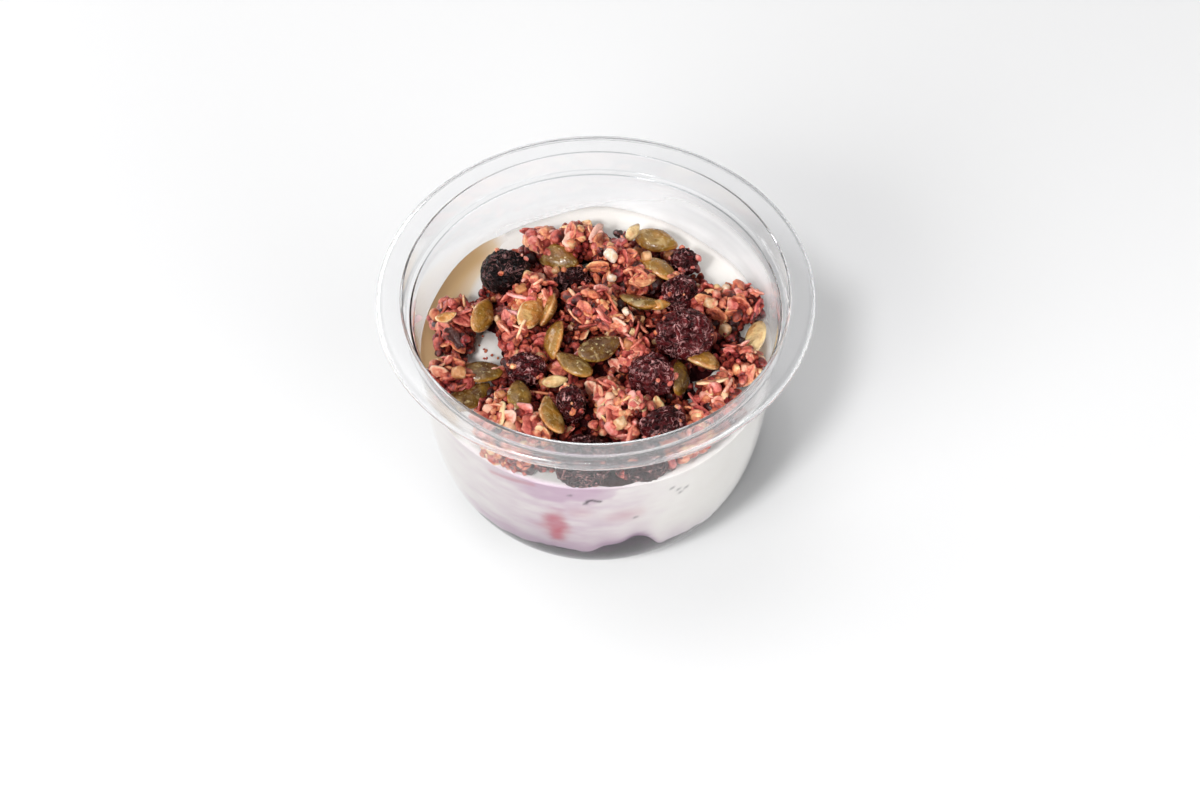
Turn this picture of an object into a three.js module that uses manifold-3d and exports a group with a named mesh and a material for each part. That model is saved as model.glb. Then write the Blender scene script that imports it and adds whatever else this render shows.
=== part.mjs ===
// A clear plastic pot of yogurt on fruit compote, topped with granola, dried berries and a pool of honey.
// Millimetres, +Z up, origin at the middle of the pot's foot. The front of the pot faces -Y.
import * as THREE from "three";
import { mergeVertices } from "three/addons/utils/BufferGeometryUtils.js";
import Module from "manifold-3d";

const wasm = await Module();
wasm.setup();

// Pot: a thin formed sheet, described by its outer face
const POT_HEIGHT = 74;
const RIM_RADIUS = 58.5;
const WALL = 0.7;
const FOOT_RADIUS = 29;
const FOOT_WIDTH = 6;
const FOOT_RECESS = 1;
const BOWL_TOP_RADIUS = 49.5;
const BOWL_TOP_Z = 65;
const BOWL_FOOT_SLOPE = 9.5;
const BOWL_FOOT_REACH = 21.9;
const BOWL_TOP_DRAFT = 9.6;
const BOWL_TOP_REACH = 17;
const LEDGE_Z = 67.5;
const COLLAR_RADIUS = 52;
const COLLAR_LEAN = 0.5;
const CORNER = 1.1;
const LIP_ROLL = 1.3;
const LIP_DROP = 2.3;
const POT_SIDES = 36;
const BOWL_STEPS = 9;
const CORNER_STEPS = 2;
const SHARPEST_CORNER = 0.5;

// Contents: the gap is left between pieces that touch
const GAP = 0.3;
const LAYER_GAP = 0.8;
const YOGURT_LEVEL = 50;
const COMPOTE_LEVEL = 10;
const HONEY_DEPTH = 1.5;
const HONEY_PROUD = 0.5;
const HONEY_FROM = 128;
const HONEY_TO = 214;
const HONEY_WIDTH = 9;
const HONEY_END = 0.04;
const HONEY_STEPS = 14;

// Compote: a flat middle, low waves, and mounds against the wall, with angles in degrees
const COMPOTE_FLAT_RADIUS = 8;
const COMPOTE_MOUND_RADIUS = 40;
const COMPOTE_MOUNDS = [
  { height: 12, angle: -79, spread: 10 },
  { height: 6.5, angle: -108, spread: 28 },
];
const COMPOTE_WAVE = 0.5;
const COMPOTE_WAVE_LENGTH = 7;

// Yogurt: a flat middle, and a rise with low waves along the wall
const YOGURT_FLAT_RADIUS = 30;
const YOGURT_RISE_RADIUS = 47;
const YOGURT_RISES = [{ height: 2.2, angle: 95, spread: 45 }];
const YOGURT_WAVE = 0.5;
const YOGURT_WAVE_LENGTH = 8.5;

// Granola: a low core that carries clusters, seeds, flakes and grains, notched where yogurt shows
const CORE_RADIUS = 40;
const CORE_FLAT_RADIUS = 16;
const CORE_SIDES = 20;
const CORE_SUNK = 2;
const CORE_EDGE = 3;
const CORE_RISE = 3;
const CORE_LEFT_DROP = 1.4;
const CORE_LEFT_FROM = 16;
const CORE_LEFT_TO = 34;
const CORE_NOTCHES = [
  { height: 13, angle: 190, spread: 24 },
  { height: 6, angle: -20, spread: 9 },
];
const CORE_EDGE_WAVE = 1.2;
const CORE_EDGE_WAVES = 7;
const OAT_LENGTH = 7.6;
const OAT_WIDTH = 5.4;
const OAT_THICKNESS = 1;
const GRAIN_DIAMETER = 2.8;
const SEED_LENGTH = 12.4;
const SEED_WIDTH = 7;
const SEED_THICKNESS = 2.8;
const LOOSE_OATS = 22;
const CLUSTER_OATS = 2;
const CLUSTER_GRAINS = 1;
const CLUSTER_LIFT = 0.4;
const CLUSTER_FLATNESS = 0.72;
const CLUSTER_LUMP = 0.86;
const CLUSTER_KNOBS = 0.06;
const CLUSTER_REACH = 0.8;
const CLUSTER_KNOB_WAVES = [5, 6, 5];
const OAT_TAPER = 0.42;
const OAT_SIDES = 6;
const SEED_SIDES = 6;
const SEED_RINGS = 3;

// Flakes and grains that stand out of a cluster: spread of their places, in degrees, sizes and tilt
const STICKING_STRAY = 20;
const STICKING_LIFTS = [20, 70];
const STICKING_OAT_SIZES = [0.85, 1.1];
const STICKING_GRAIN_SIZES = [0.9, 1.2];
const STICKING_TILT = 1;

// Loose flakes: sizes, tilt, and how far they stay from clusters and berries
const LOOSE_OAT_SIZES = [0.9, 1.15];
const LOOSE_TILT = 0.7;
const LOOSE_FROM_CLUSTER = 1;
const LOOSE_FROM_BERRY = 2;

// Seeds: how much of the thickness, and of the leaning width, lies above the core
const SEED_FLAT_LIFT = 0.4;
const SEED_LEAN_LIFT = 0.3;

// Repeatable random draws, with turns up to about a full one in radians
const ANY_TURN = 6;
const RANDOM_SEED = 20735;
const GOLDEN_ANGLE = Math.PI * (3 - Math.sqrt(5));

// Dried berries: place of the middle, half sizes along x, y and z, and turn about z
const BERRIES = [
  { at: [-24.5, 19.5, 60], half: [6.7, 6.2, 7.6], turn: 20 },
  { at: [23.5, -4.5, 61], half: [7.8, 7.2, 6.8], turn: 10 },
  { at: [22.5, 12.5, 59], half: [5.8, 5, 4.8], turn: 35 },
  { at: [24.5, 25.5, 57], half: [4.4, 4, 3.6], turn: 0 },
  { at: [14.5, -17.5, 60], half: [7, 5.8, 5.8], turn: -40 },
  { at: [-6.8, -26.5, 59], half: [3.8, 4.4, 6.2], turn: 15 },
  { at: [-18.5, -13.5, 58], half: [5.6, 4.6, 4.6], turn: 0 },
  { at: [17, -34, 60.5], half: [6.4, 4.4, 4.4], turn: 25 },
  { at: [-6.5, 19, 57], half: [5.6, 3.6, 3.6], turn: 20 },
  { at: [-3.4, -42.3, 54.2], half: [8.6, 7.4, 7], turn: 0 },
  { at: [12.2, -40.8, 53.4], half: [6.2, 6.4, 5.8], turn: 15 },
];

// Depth of a berry's folds, room cut round it, and the half size from which it gets finer facets
const BERRY_FOLDS = 0.04;
const BERRY_FOLD_WAVES = [4, 4, 5];
const BERRY_ROOM = 1.1;
const LARGE_BERRY = 6;

// Granola clusters: place on the core and half size
const CLUSTERS = [
  { at: [-36.5, 5], half: 8 },
  { at: [-39, -12.5], half: 6.2 },
  { at: [-25, -27.5], half: 7.6 },
  { at: [-16.5, -33.5], half: 6 },
  { at: [-17.5, 13], half: 6.5 },
  { at: [-24.5, 0], half: 5 },
  { at: [-14.5, 33], half: 6 },
  { at: [-4.5, 33], half: 7 },
  { at: [-0.5, 5.5], half: 7.5 },
  { at: [8, 0.5], half: 4.5 },
  { at: [6, 24.5], half: 6.5 },
  { at: [12, 17.5], half: 5 },
  { at: [7.5, -29.5], half: 8 },
  { at: [10, -8.5], half: 4.5 },
  { at: [30.5, 10.5], half: 5.5 },
  { at: [40, 10.5], half: 6.5 },
  { at: [38.5, -11], half: 6.6 },
  { at: [31.5, -22], half: 6.5 },
  { at: [25, -31], half: 5.5 },
  { at: [-20, -38], half: 5 },
];

// Pumpkin seeds: place on the core, turn of the long side about z, and lean about that long side
const SEEDS = [
  { at: [-20.5, -24], turn: 90, lean: 10 },
  { at: [-6, -13.5], turn: -40, lean: 10 },
  { at: [1, -8.5], turn: 25, lean: 15 },
  { at: [-11.5, -4], turn: 85, lean: 50 },
  { at: [-17.5, 5], turn: 65, lean: 25 },
  { at: [-12.5, 6], turn: 75, lean: 75 },
  { at: [-30.5, 7], turn: 70, lean: 40 },
  { at: [-31.5, -12], turn: 0, lean: 5 },
  { at: [-34, -19], turn: 35, lean: 5 },
  { at: [17, 21.5], turn: -38, lean: 20 },
  { at: [17, 33], turn: -20, lean: 15 },
  { at: [10, 34], turn: 60, lean: 30 },
  { at: [12, 8.5], turn: -15, lean: 30 },
  { at: [22.5, -16], turn: 85, lean: 50 },
  { at: [43, -1], turn: 80, lean: 40 },
  { at: [-12, -30.5], turn: 105, lean: 35 },
  { at: [28, -12.5], turn: -30, lean: 20 },
  { at: [-10.5, 27.5], turn: -25, lean: 30 },
];

// Draws repeatable numbers from 0 to 1.
function randomSource(seed) {
  let state = seed;
  return () => {
    state = (state + 0x6d2b79f5) | 0;
    let mixed = Math.imul(state ^ (state >>> 15), state | 1);
    mixed ^= mixed + Math.imul(mixed ^ (mixed >>> 7), mixed | 61);
    return ((mixed ^ (mixed >>> 14)) >>> 0) / 4294967296;
  };
}

const random = randomSource(RANDOM_SEED);
const between = (low, high) => low + (high - low) * random();
const radians = THREE.MathUtils.degToRad;
const smoothstep = THREE.MathUtils.smoothstep;

// A bump of height 1 at the given angle, falling off over its spread, all in degrees.
function angleBump(angle, middle, spread) {
  const apart = THREE.MathUtils.euclideanModulo(angle - middle + 180, 360) - 180;
  return Math.exp(-((apart / spread) ** 2));
}

const angleOf = (x, y) => THREE.MathUtils.radToDeg(Math.atan2(y, x));

function bumps(list, x, y) {
  const angle = angleOf(x, y);
  return list.reduce((sum, bump) => sum + bump.height * angleBump(angle, bump.angle, bump.spread), 0);
}

// The closed solid of a geometry, for joins and cuts.
function solidOf(geometry) {
  const bare = geometry.clone();
  bare.deleteAttribute("normal");
  bare.deleteAttribute("uv");
  const merged = mergeVertices(bare, 1e-4);
  const vertProperties = merged.attributes.position.array;
  const triVerts = new Uint32Array(merged.index.array);
  return new wasm.Manifold(new wasm.Mesh({ numProp: 3, vertProperties, triVerts }));
}

// The geometry of a solid, with flat shaded faces.
function geometryOf(solid) {
  const mesh = solid.getMesh();
  const geometry = new THREE.BufferGeometry();
  geometry.setAttribute("position", new THREE.BufferAttribute(mesh.vertProperties, 3));
  geometry.setIndex(new THREE.BufferAttribute(mesh.triVerts, 1));
  const faceted = geometry.toNonIndexed();
  faceted.computeVertexNormals();
  return faceted;
}

// The largest body of a solid, without loose scraps and with sealed hollows filled.
function largestBody(solid) {
  const bodies = solid.decompose();
  return bodies.reduce((best, body) => (body.volume() > best.volume() ? body : best));
}

// Turns a profile of radius and height about the z axis.
function turned(profile, sides) {
  return new THREE.LatheGeometry(profile, sides).rotateX(Math.PI / 2);
}

// The outer face of the pot's sheet, from the middle of the foot out to the end of the lip.
function potOuterFace() {
  const footSlope = radians(BOWL_FOOT_SLOPE);
  const topDraft = radians(BOWL_TOP_DRAFT);
  const bowl = new THREE.CubicBezierCurve(
    new THREE.Vector2(FOOT_RADIUS, 0),
    new THREE.Vector2(
      FOOT_RADIUS + BOWL_FOOT_REACH * Math.cos(footSlope),
      BOWL_FOOT_REACH * Math.sin(footSlope),
    ),
    new THREE.Vector2(
      BOWL_TOP_RADIUS - BOWL_TOP_REACH * Math.sin(topDraft),
      BOWL_TOP_Z - BOWL_TOP_REACH * Math.cos(topDraft),
    ),
    new THREE.Vector2(BOWL_TOP_RADIUS, BOWL_TOP_Z),
  );
  const flangeZ = POT_HEIGHT - WALL;
  const lipRadius = RIM_RADIUS - WALL;
  const collarFoot = COLLAR_RADIUS - COLLAR_LEAN;
  const ledge = new THREE.QuadraticBezierCurve(
    new THREE.Vector2(BOWL_TOP_RADIUS + COLLAR_LEAN, LEDGE_Z - CORNER),
    new THREE.Vector2(collarFoot, LEDGE_Z - CORNER / 2),
    new THREE.Vector2(collarFoot, LEDGE_Z + CORNER),
  );
  const flangeCorner = new THREE.QuadraticBezierCurve(
    new THREE.Vector2(COLLAR_RADIUS, flangeZ - CORNER),
    new THREE.Vector2(COLLAR_RADIUS, flangeZ),
    new THREE.Vector2(COLLAR_RADIUS + CORNER, flangeZ),
  );
  const lipCorner = new THREE.QuadraticBezierCurve(
    new THREE.Vector2(lipRadius - LIP_ROLL, flangeZ),
    new THREE.Vector2(lipRadius, flangeZ),
    new THREE.Vector2(lipRadius, flangeZ - LIP_ROLL),
  );
  return [
    new THREE.Vector2(0, FOOT_RECESS),
    new THREE.Vector2(FOOT_RADIUS - FOOT_WIDTH - FOOT_RECESS, FOOT_RECESS),
    new THREE.Vector2(FOOT_RADIUS - FOOT_WIDTH, 0),
    ...bowl.getPoints(BOWL_STEPS),
    ...ledge.getPoints(CORNER_STEPS),
    ...flangeCorner.getPoints(CORNER_STEPS),
    ...lipCorner.getPoints(CORNER_STEPS),
    new THREE.Vector2(lipRadius, POT_HEIGHT - LIP_DROP),
  ];
}

// The inner face of the sheet: the outer face moved in by the wall, square to its direction.
function movedIn(face, distance) {
  return face.map((point, i) => {
    const before = face[Math.max(i - 1, 0)];
    const after = face[Math.min(i + 1, face.length - 1)];
    const into = point.clone().sub(before).normalize();
    const out = after.clone().sub(point).normalize();
    const along = into.clone().add(out).normalize();
    const square = new THREE.Vector2(-along.y, along.x);
    const straight = i === 0 || i === face.length - 1;
    const stretch = straight ? 1 : 1 / Math.max(into.dot(along), SHARPEST_CORNER);
    return point.clone().addScaledVector(square, distance * stretch);
  });
}

const outerFace = potOuterFace();
const innerFace = movedIn(outerFace, WALL);

// The radius of the pot's inside at a height within the bowl.
function innerRadius(z) {
  const firstBowl = 3;
  for (let i = firstBowl; i < innerFace.length - 1; i += 1) {
    const low = innerFace[i];
    const high = innerFace[i + 1];
    if (z <= high.y || high.y < low.y) {
      return low.x + ((high.x - low.x) * (z - low.y)) / (high.y - low.y);
    }
  }
  return BOWL_TOP_RADIUS;
}

// Surfaces of the contents at a place seen from above
function compoteTop(x, y) {
  const out = smoothstep(Math.hypot(x, y), COMPOTE_FLAT_RADIUS, COMPOTE_MOUND_RADIUS);
  const across = x / COMPOTE_WAVE_LENGTH;
  const waves = COMPOTE_WAVE * (Math.sin(across) + Math.cos(y / COMPOTE_WAVE_LENGTH + across / 2));
  return COMPOTE_LEVEL + out * bumps(COMPOTE_MOUNDS, x, y) + waves;
}

function yogurtTop(x, y) {
  const out = smoothstep(Math.hypot(x, y), YOGURT_FLAT_RADIUS, YOGURT_RISE_RADIUS);
  const waves = YOGURT_WAVE * Math.sin(x / YOGURT_WAVE_LENGTH + 1) * Math.cos(y / YOGURT_WAVE_LENGTH);
  return YOGURT_LEVEL + out * (bumps(YOGURT_RISES, x, y) + waves);
}

function coreTop(x, y) {
  const inward = 1 - smoothstep(Math.hypot(x, y), CORE_FLAT_RADIUS, CORE_RADIUS);
  const left = smoothstep(-x, CORE_LEFT_FROM, CORE_LEFT_TO);
  return YOGURT_LEVEL + CORE_EDGE - CORE_LEFT_DROP * left + CORE_RISE * inward;
}

function coreEdge(x, y) {
  const wave = CORE_EDGE_WAVE * Math.sin(CORE_EDGE_WAVES * Math.atan2(y, x));
  return CORE_RADIUS - bumps(CORE_NOTCHES, x, y) + wave;
}

const wallEdge = (z) => innerRadius(z) - GAP;

// A round layer between two surfaces, out to an edge radius.
function layer({ bottom, top, edge, floorRings, sideSteps, topRings, sides = POT_SIDES }) {
  const profile = [];
  for (let i = 0; i <= floorRings; i += 1) {
    profile.push(new THREE.Vector2(i / floorRings, 0));
  }
  for (let i = 1; i <= sideSteps; i += 1) {
    profile.push(new THREE.Vector2(1, i / sideSteps));
  }
  for (let i = topRings - 1; i >= 0; i -= 1) {
    profile.push(new THREE.Vector2(i / topRings, 1));
  }
  const geometry = turned(profile, sides);
  const position = geometry.attributes.position;
  for (let i = 0; i < position.count; i += 1) {
    const share = Math.hypot(position.getX(i), position.getY(i));
    const height = position.getZ(i);
    const toX = share ? position.getX(i) / share : 1;
    const toY = share ? position.getY(i) / share : 0;
    const surface = (x, y) => THREE.MathUtils.lerp(bottom(x, y), top(x, y), height);
    const guess = edge(toX, toY, surface(toX * CORE_RADIUS, toY * CORE_RADIUS));
    const reach = edge(toX, toY, surface(toX * guess, toY * guess));
    const x = toX * reach * share;
    const y = toY * reach * share;
    position.setXYZ(i, x, y, surface(x, y));
  }
  return geometry;
}

// A pool along the pot's left side that narrows to both ends, grown on every side by a margin.
function honeyPool(margin) {
  const bottomZ = YOGURT_LEVEL + HONEY_PROUD - HONEY_DEPTH;
  const outerRadius = innerRadius(bottomZ) - 2 * GAP + margin;
  const outline = [];
  const inner = [];
  const spare = THREE.MathUtils.radToDeg(margin / outerRadius);
  for (let i = 0; i <= HONEY_STEPS; i += 1) {
    const share = i / HONEY_STEPS;
    const angle = radians(THREE.MathUtils.lerp(HONEY_FROM - spare, HONEY_TO + spare, share));
    const across = THREE.MathUtils.lerp(HONEY_END, 1 - HONEY_END, share);
    const width = HONEY_WIDTH * Math.sqrt(Math.sin(Math.PI * across));
    const innerAt = outerRadius - 2 * margin - width;
    outline.push(new THREE.Vector2(outerRadius * Math.cos(angle), outerRadius * Math.sin(angle)));
    inner.unshift(new THREE.Vector2(innerAt * Math.cos(angle), innerAt * Math.sin(angle)));
  }
  const depth = HONEY_DEPTH + 2 * margin;
  const plate = new THREE.Shape([...outline, ...inner]);
  const geometry = new THREE.ExtrudeGeometry(plate, { depth, bevelEnabled: false });
  return geometry.translate(0, 0, bottomZ - margin);
}

// A wrinkled dried berry, grown on every side by a margin.
function driedBerry({ at, half, turn }, index, detail, margin) {
  const geometry = new THREE.IcosahedronGeometry(1, detail);
  const position = geometry.attributes.position;
  const place = new THREE.Vector3();
  for (let i = 0; i < position.count; i += 1) {
    place.fromBufferAttribute(position, i);
    const [waveX, waveY, waveZ] = BERRY_FOLD_WAVES;
    const across = Math.sin(waveX * place.x + index) * Math.cos(waveY * place.y - index);
    const folds = across + Math.sin(waveZ * place.z);
    place.multiplyScalar(1 - BERRY_FOLDS + BERRY_FOLDS * folds);
    position.setXYZ(i, place.x, place.y, place.z);
  }
  geometry.scale(half[0] + margin, half[1] + margin, half[2] + margin);
  return geometry.rotateZ(radians(turn)).translate(...at);
}

// A flat oat flake.
function oatFlake(size) {
  const flake = new THREE.CylinderGeometry(0.5, OAT_TAPER, OAT_THICKNESS, OAT_SIDES).rotateX(Math.PI / 2);
  return flake.scale(OAT_LENGTH * size, OAT_WIDTH * size, 1);
}

function puffedGrain(size) {
  return new THREE.IcosahedronGeometry((GRAIN_DIAMETER / 2) * size, 0);
}

function pumpkinSeed() {
  const seed = new THREE.SphereGeometry(0.5, SEED_SIDES, SEED_RINGS).rotateZ(Math.PI / 2);
  return seed.scale(SEED_LENGTH, SEED_WIDTH, SEED_THICKNESS);
}

// A lump of oats and grains stuck together, with some of them standing out of it.
function cluster({ at, half }) {
  const middle = new THREE.Vector3(at[0], at[1], coreTop(at[0], at[1]) + CLUSTER_LIFT * half);
  const lump = new THREE.DodecahedronGeometry(1, 0);
  const position = lump.attributes.position;
  const place = new THREE.Vector3();
  const phase = between(0, ANY_TURN);
  for (let i = 0; i < position.count; i += 1) {
    place.fromBufferAttribute(position, i);
    const [waveX, waveY, waveZ] = CLUSTER_KNOB_WAVES;
    const across = Math.sin(waveX * place.x + phase) + Math.cos(waveY * place.y + phase);
    const knobs = across + Math.sin(waveZ * place.z);
    place.multiplyScalar(CLUSTER_LUMP * half * (1 + CLUSTER_KNOBS * knobs));
    position.setXYZ(i, place.x, place.y, CLUSTER_FLATNESS * place.z);
  }
  const pieces = [lump.translate(middle.x, middle.y, middle.z)];
  const sticking = CLUSTER_OATS + CLUSTER_GRAINS;
  for (let i = 0; i < sticking; i += 1) {
    const angle = radians((360 * i) / sticking + between(-STICKING_STRAY, STICKING_STRAY));
    const lift = radians(between(...STICKING_LIFTS));
    const reach = CLUSTER_REACH * half;
    const out = new THREE.Vector3(
      reach * Math.cos(lift) * Math.cos(angle),
      reach * Math.cos(lift) * Math.sin(angle),
      CLUSTER_FLATNESS * reach * Math.sin(lift),
    );
    const piece =
      i < CLUSTER_OATS
        ? oatFlake(between(...STICKING_OAT_SIZES))
        : puffedGrain(between(...STICKING_GRAIN_SIZES));
    piece.rotateX(between(-STICKING_TILT, STICKING_TILT)).rotateZ(between(0, ANY_TURN));
    pieces.push(piece.translate(middle.x + out.x, middle.y + out.y, middle.z + out.z));
  }
  return pieces;
}

function placedSeed({ at, turn, lean }) {
  const seed = pumpkinSeed().rotateX(radians(lean)).rotateZ(radians(turn));
  const leaning = SEED_LEAN_LIFT * SEED_WIDTH * Math.sin(radians(lean));
  const lift = SEED_FLAT_LIFT * SEED_THICKNESS + leaning;
  return seed.translate(at[0], at[1], coreTop(at[0], at[1]) + lift);
}

// Whether a place on the core is clear of the clusters and berries.
function isBare(x, y) {
  const clearOf = ({ at }, reach) => Math.hypot(x - at[0], y - at[1]) > reach;
  const bareOfClusters = CLUSTERS.every((lump) => clearOf(lump, lump.half + LOOSE_FROM_CLUSTER));
  return bareOfClusters && BERRIES.every((berry) => clearOf(berry, berry.half[0] + LOOSE_FROM_BERRY));
}

// Loose flakes spread evenly over the bare core by the golden angle, tilted at random.
function looseOats() {
  const pieces = [];
  for (let i = 0; i < LOOSE_OATS; i += 1) {
    const angle = i * GOLDEN_ANGLE;
    const share = Math.sqrt((i + 0.5) / LOOSE_OATS);
    const reach = share * coreEdge(Math.cos(angle), Math.sin(angle));
    const x = reach * Math.cos(angle);
    const y = reach * Math.sin(angle);
    const flake = oatFlake(between(...LOOSE_OAT_SIZES));
    flake.rotateX(between(-LOOSE_TILT, LOOSE_TILT)).rotateZ(between(0, ANY_TURN));
    if (isBare(x, y)) {
      pieces.push(flake.translate(x, y, coreTop(x, y) + OAT_THICKNESS));
    }
  }
  return pieces;
}

// The room in the bowl above a surface, clear of the wall.
function roomAbove(surface) {
  const room = layer({
    bottom: surface,
    top: () => BOWL_TOP_Z,
    edge: (x, y, z) => wallEdge(z),
    floorRings: 6,
    sideSteps: 2,
    topRings: 1,
  });
  return solidOf(room);
}

// A solid with room cut for the berries and the honey.
function clearOfToppings(solid) {
  const clearOfBerries = BERRIES.reduce(
    (rest, berry, i) => rest.subtract(solidOf(driedBerry(berry, i, 1, BERRY_ROOM))),
    solid,
  );
  return clearOfBerries.subtract(solidOf(honeyPool(GAP)));
}

// The granola heap: everything joined, kept inside the pot and above the yogurt, clear of honey and berries.
function granolaHeap() {
  const core = layer({
    bottom: () => YOGURT_LEVEL - CORE_SUNK,
    top: coreTop,
    edge: coreEdge,
    floorRings: 1,
    sideSteps: 1,
    topRings: 3,
    sides: CORE_SIDES,
  });
  const room = roomAbove((x, y) => yogurtTop(x, y) + GAP);
  const pieces = [
    core,
    ...CLUSTERS.flatMap(cluster),
    ...SEEDS.map(placedSeed),
    ...looseOats(),
  ];
  const joined = pieces.map(solidOf).reduce((whole, piece) => whole.add(piece));
  const inRoom = joined.intersect(room);
  return largestBody(clearOfToppings(inRoom));
}

function compoteLayer() {
  return layer({
    bottom: () => FOOT_RECESS + WALL + GAP,
    top: compoteTop,
    edge: (x, y, z) => wallEdge(z),
    floorRings: 2,
    sideSteps: 3,
    topRings: 5,
  });
}

function yogurtLayer() {
  const whole = layer({
    bottom: (x, y) => compoteTop(x, y) + LAYER_GAP,
    top: yogurtTop,
    edge: (x, y, z) => wallEdge(z),
    floorRings: 5,
    sideSteps: 5,
    topRings: 6,
  });
  return largestBody(clearOfToppings(solidOf(whole)));
}

const clearPlastic = new THREE.MeshStandardMaterial({
  color: 0xeef1f4,
  roughness: 0.08,
  transparent: true,
  opacity: 0.3,
});
const yogurtWhite = new THREE.MeshStandardMaterial({ color: 0xece6e4, roughness: 0.45 });
const compotePurple = new THREE.MeshStandardMaterial({ color: 0x4d3a48, roughness: 0.35 });
const honeyAmber = new THREE.MeshStandardMaterial({ color: 0xc79a5f, roughness: 0.15 });
const granolaRed = new THREE.MeshStandardMaterial({ color: 0xb5655a, roughness: 0.7 });
const berryBlack = new THREE.MeshStandardMaterial({ color: 0x33161f, roughness: 0.5 });

const pot = new THREE.Group();

function addNode(name, geometry, material) {
  const mesh = new THREE.Mesh(geometry, material);
  mesh.name = name;
  pot.add(mesh);
}

addNode("pot", turned([...outerFace, ...innerFace.toReversed()], POT_SIDES), clearPlastic);
addNode("compote", compoteLayer(), compotePurple);
addNode("yogurt", geometryOf(yogurtLayer()), yogurtWhite);
addNode("honey", honeyPool(0), honeyAmber);
addNode("granola", geometryOf(granolaHeap()), granolaRed);
const berryRoom = roomAbove(compoteTop);
BERRIES.forEach((berry, i) => {
  const name = "dried_berry_" + String(i + 1).padStart(2, "0");
  const detail = berry.half[0] > LARGE_BERRY ? 2 : 1;
  const flatAtWall = solidOf(driedBerry(berry, i, detail, 0)).intersect(berryRoom);
  addNode(name, geometryOf(flatAtWall), berryBlack);
});

export default pot;
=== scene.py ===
import math

import bpy
import numpy as np
from mathutils import Matrix, Vector


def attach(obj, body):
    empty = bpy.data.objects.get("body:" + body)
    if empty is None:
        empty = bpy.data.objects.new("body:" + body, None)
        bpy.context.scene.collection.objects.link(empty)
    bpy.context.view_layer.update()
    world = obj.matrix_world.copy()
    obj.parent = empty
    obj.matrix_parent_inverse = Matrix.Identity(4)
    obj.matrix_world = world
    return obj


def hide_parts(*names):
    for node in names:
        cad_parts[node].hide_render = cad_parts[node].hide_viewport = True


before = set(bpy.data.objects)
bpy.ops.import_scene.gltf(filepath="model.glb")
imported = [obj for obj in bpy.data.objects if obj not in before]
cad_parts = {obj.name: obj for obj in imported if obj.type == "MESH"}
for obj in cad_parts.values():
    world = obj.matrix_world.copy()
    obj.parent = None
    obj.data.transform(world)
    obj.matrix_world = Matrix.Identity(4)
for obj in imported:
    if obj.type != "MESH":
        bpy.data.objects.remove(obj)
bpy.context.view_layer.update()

# Lengths are millimetres in the part's frame until a mesh is made, and angles in tables are degrees
MM = 0.001
RANDOM_SEED = 20735
rng = np.random.default_rng(RANDOM_SEED)

# Camera, fitted to the rim and the outline
CAMERA_TARGET = (0.88, 0.0, 28.285)
CAMERA_DISTANCE = 833.178
CAMERA_ELEVATION = 50.805
CAMERA_ROLL = -0.615
CAMERA_LENS = 90.0
CAMERA_SENSOR = 36.0
CAMERA_CLIP = (50.0, 20000.0)

# Pot: a thin formed sheet, described by its outer face
POT_HEIGHT = 74.0
RIM_RADIUS = 58.5
WALL = 0.7
FOOT_RADIUS = 29.0
FOOT_WIDTH = 6.0
FOOT_RECESS = 1.0
FOOT_CORNER = 0.5
BOWL_TOP = (49.5, 65.0)
BOWL_FOOT_SLOPE = 9.5
BOWL_FOOT_REACH = 21.9
BOWL_TOP_DRAFT = 9.6
BOWL_TOP_REACH = 17.0
LEDGE_Z = 67.5
COLLAR_RADIUS = 52.0
COLLAR_LEAN = 0.5
CORNER = 1.1
LIP_ROLL = 1.3
LIP_DROP = 2.3
LIP_END = (0.35, -0.3)
OUTER_BENDS = (0.3, 0.3, 0.25, LIP_ROLL)
INNER_BENDS = (0.25, 0.3, 0.25, LIP_ROLL + WALL)
POT_SEGMENTS = 300
BOWL_STEPS = 44
BEND_STEPS = 7

# How much painted shade, as a dark tint, each bend gets, how milky the sheet is, and where, in points from
# the lip's end
BEND_SHADE_TINTS = (1.0, 0.35, 1.0, 0.3)
LIP_POINTS = 9
FLANGE_POINTS = 13
COLLAR_POINTS = 25
FLANGE_HAZE = 0.13
COLLAR_HAZE = 0.04

# Thin smears of yogurt on the wall: strength, middle and spread of each
WALL_FILM = [(0.42, 24.0, 30.0), (0.22, 62.0, 22.0)]
EDGE_FILM = [(0.6, 82.0, 48.0)]
EDGE_FILM_Z = 54.5
EDGE_FILM_FADE = 2.2
FILM_STREAK = (16.0, 1.8)
FILM_BLUR = 2

# Contents. Steps count up the side and out from the middle
YOGURT_LEVEL = 50.0
COMPOTE_LEVEL = 10.0
INTO_WALL = 0.25
CLEAR_OF_WALL = 0.15
COMPOTE_SLOPE = (8.0, 40.0)
COMPOTE_RAGGED = 1.2
COMPOTE_RAG_SIZE = 5.0
COMPOTE_EDGE = [
    (-180.0, 10.5), (-150.0, 12.6), (-128.0, 14.6), (-118.0, 16.4), (-109.0, 18.2), (-103.0, 19.2),
    (-98.0, 17.2), (-94.5, 15.6), (-91.0, 18.0), (-87.5, 21.2), (-83.0, 22.3), (-77.0, 23.6), (-73.0, 22.8),
    (-70.5, 19.0), (-68.0, 15.2), (-64.0, 15.2), (-52.0, 16.2), (-40.0, 15.2), (-20.0, 12.0), (60.0, 10.0),
    (180.0, 10.5),
]
WAVE_HEIGHT = 0.5
COMPOTE_WAVE = 7.0
YOGURT_WAVE = 8.5
YOGURT_RISES = [(2.2, 95.0, 45.0)]
YOGURT_RISE_REACH = (30.0, 47.0)
YOGURT_FILM = [(2.6, 84.0, 36.0), (1.2, 140.0, 22.0), (1.4, 28.0, 22.0)]
YOGURT_FILM_REACH = (43.5, 48.2)
GAP_RISE = 1.6
LAYER_SEGMENTS = 420
COMPOTE_STEPS = (16, 14)
YOGURT_STEPS = (76, 24)
HONEY_SPAN = (122.0, 220.0)
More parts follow.
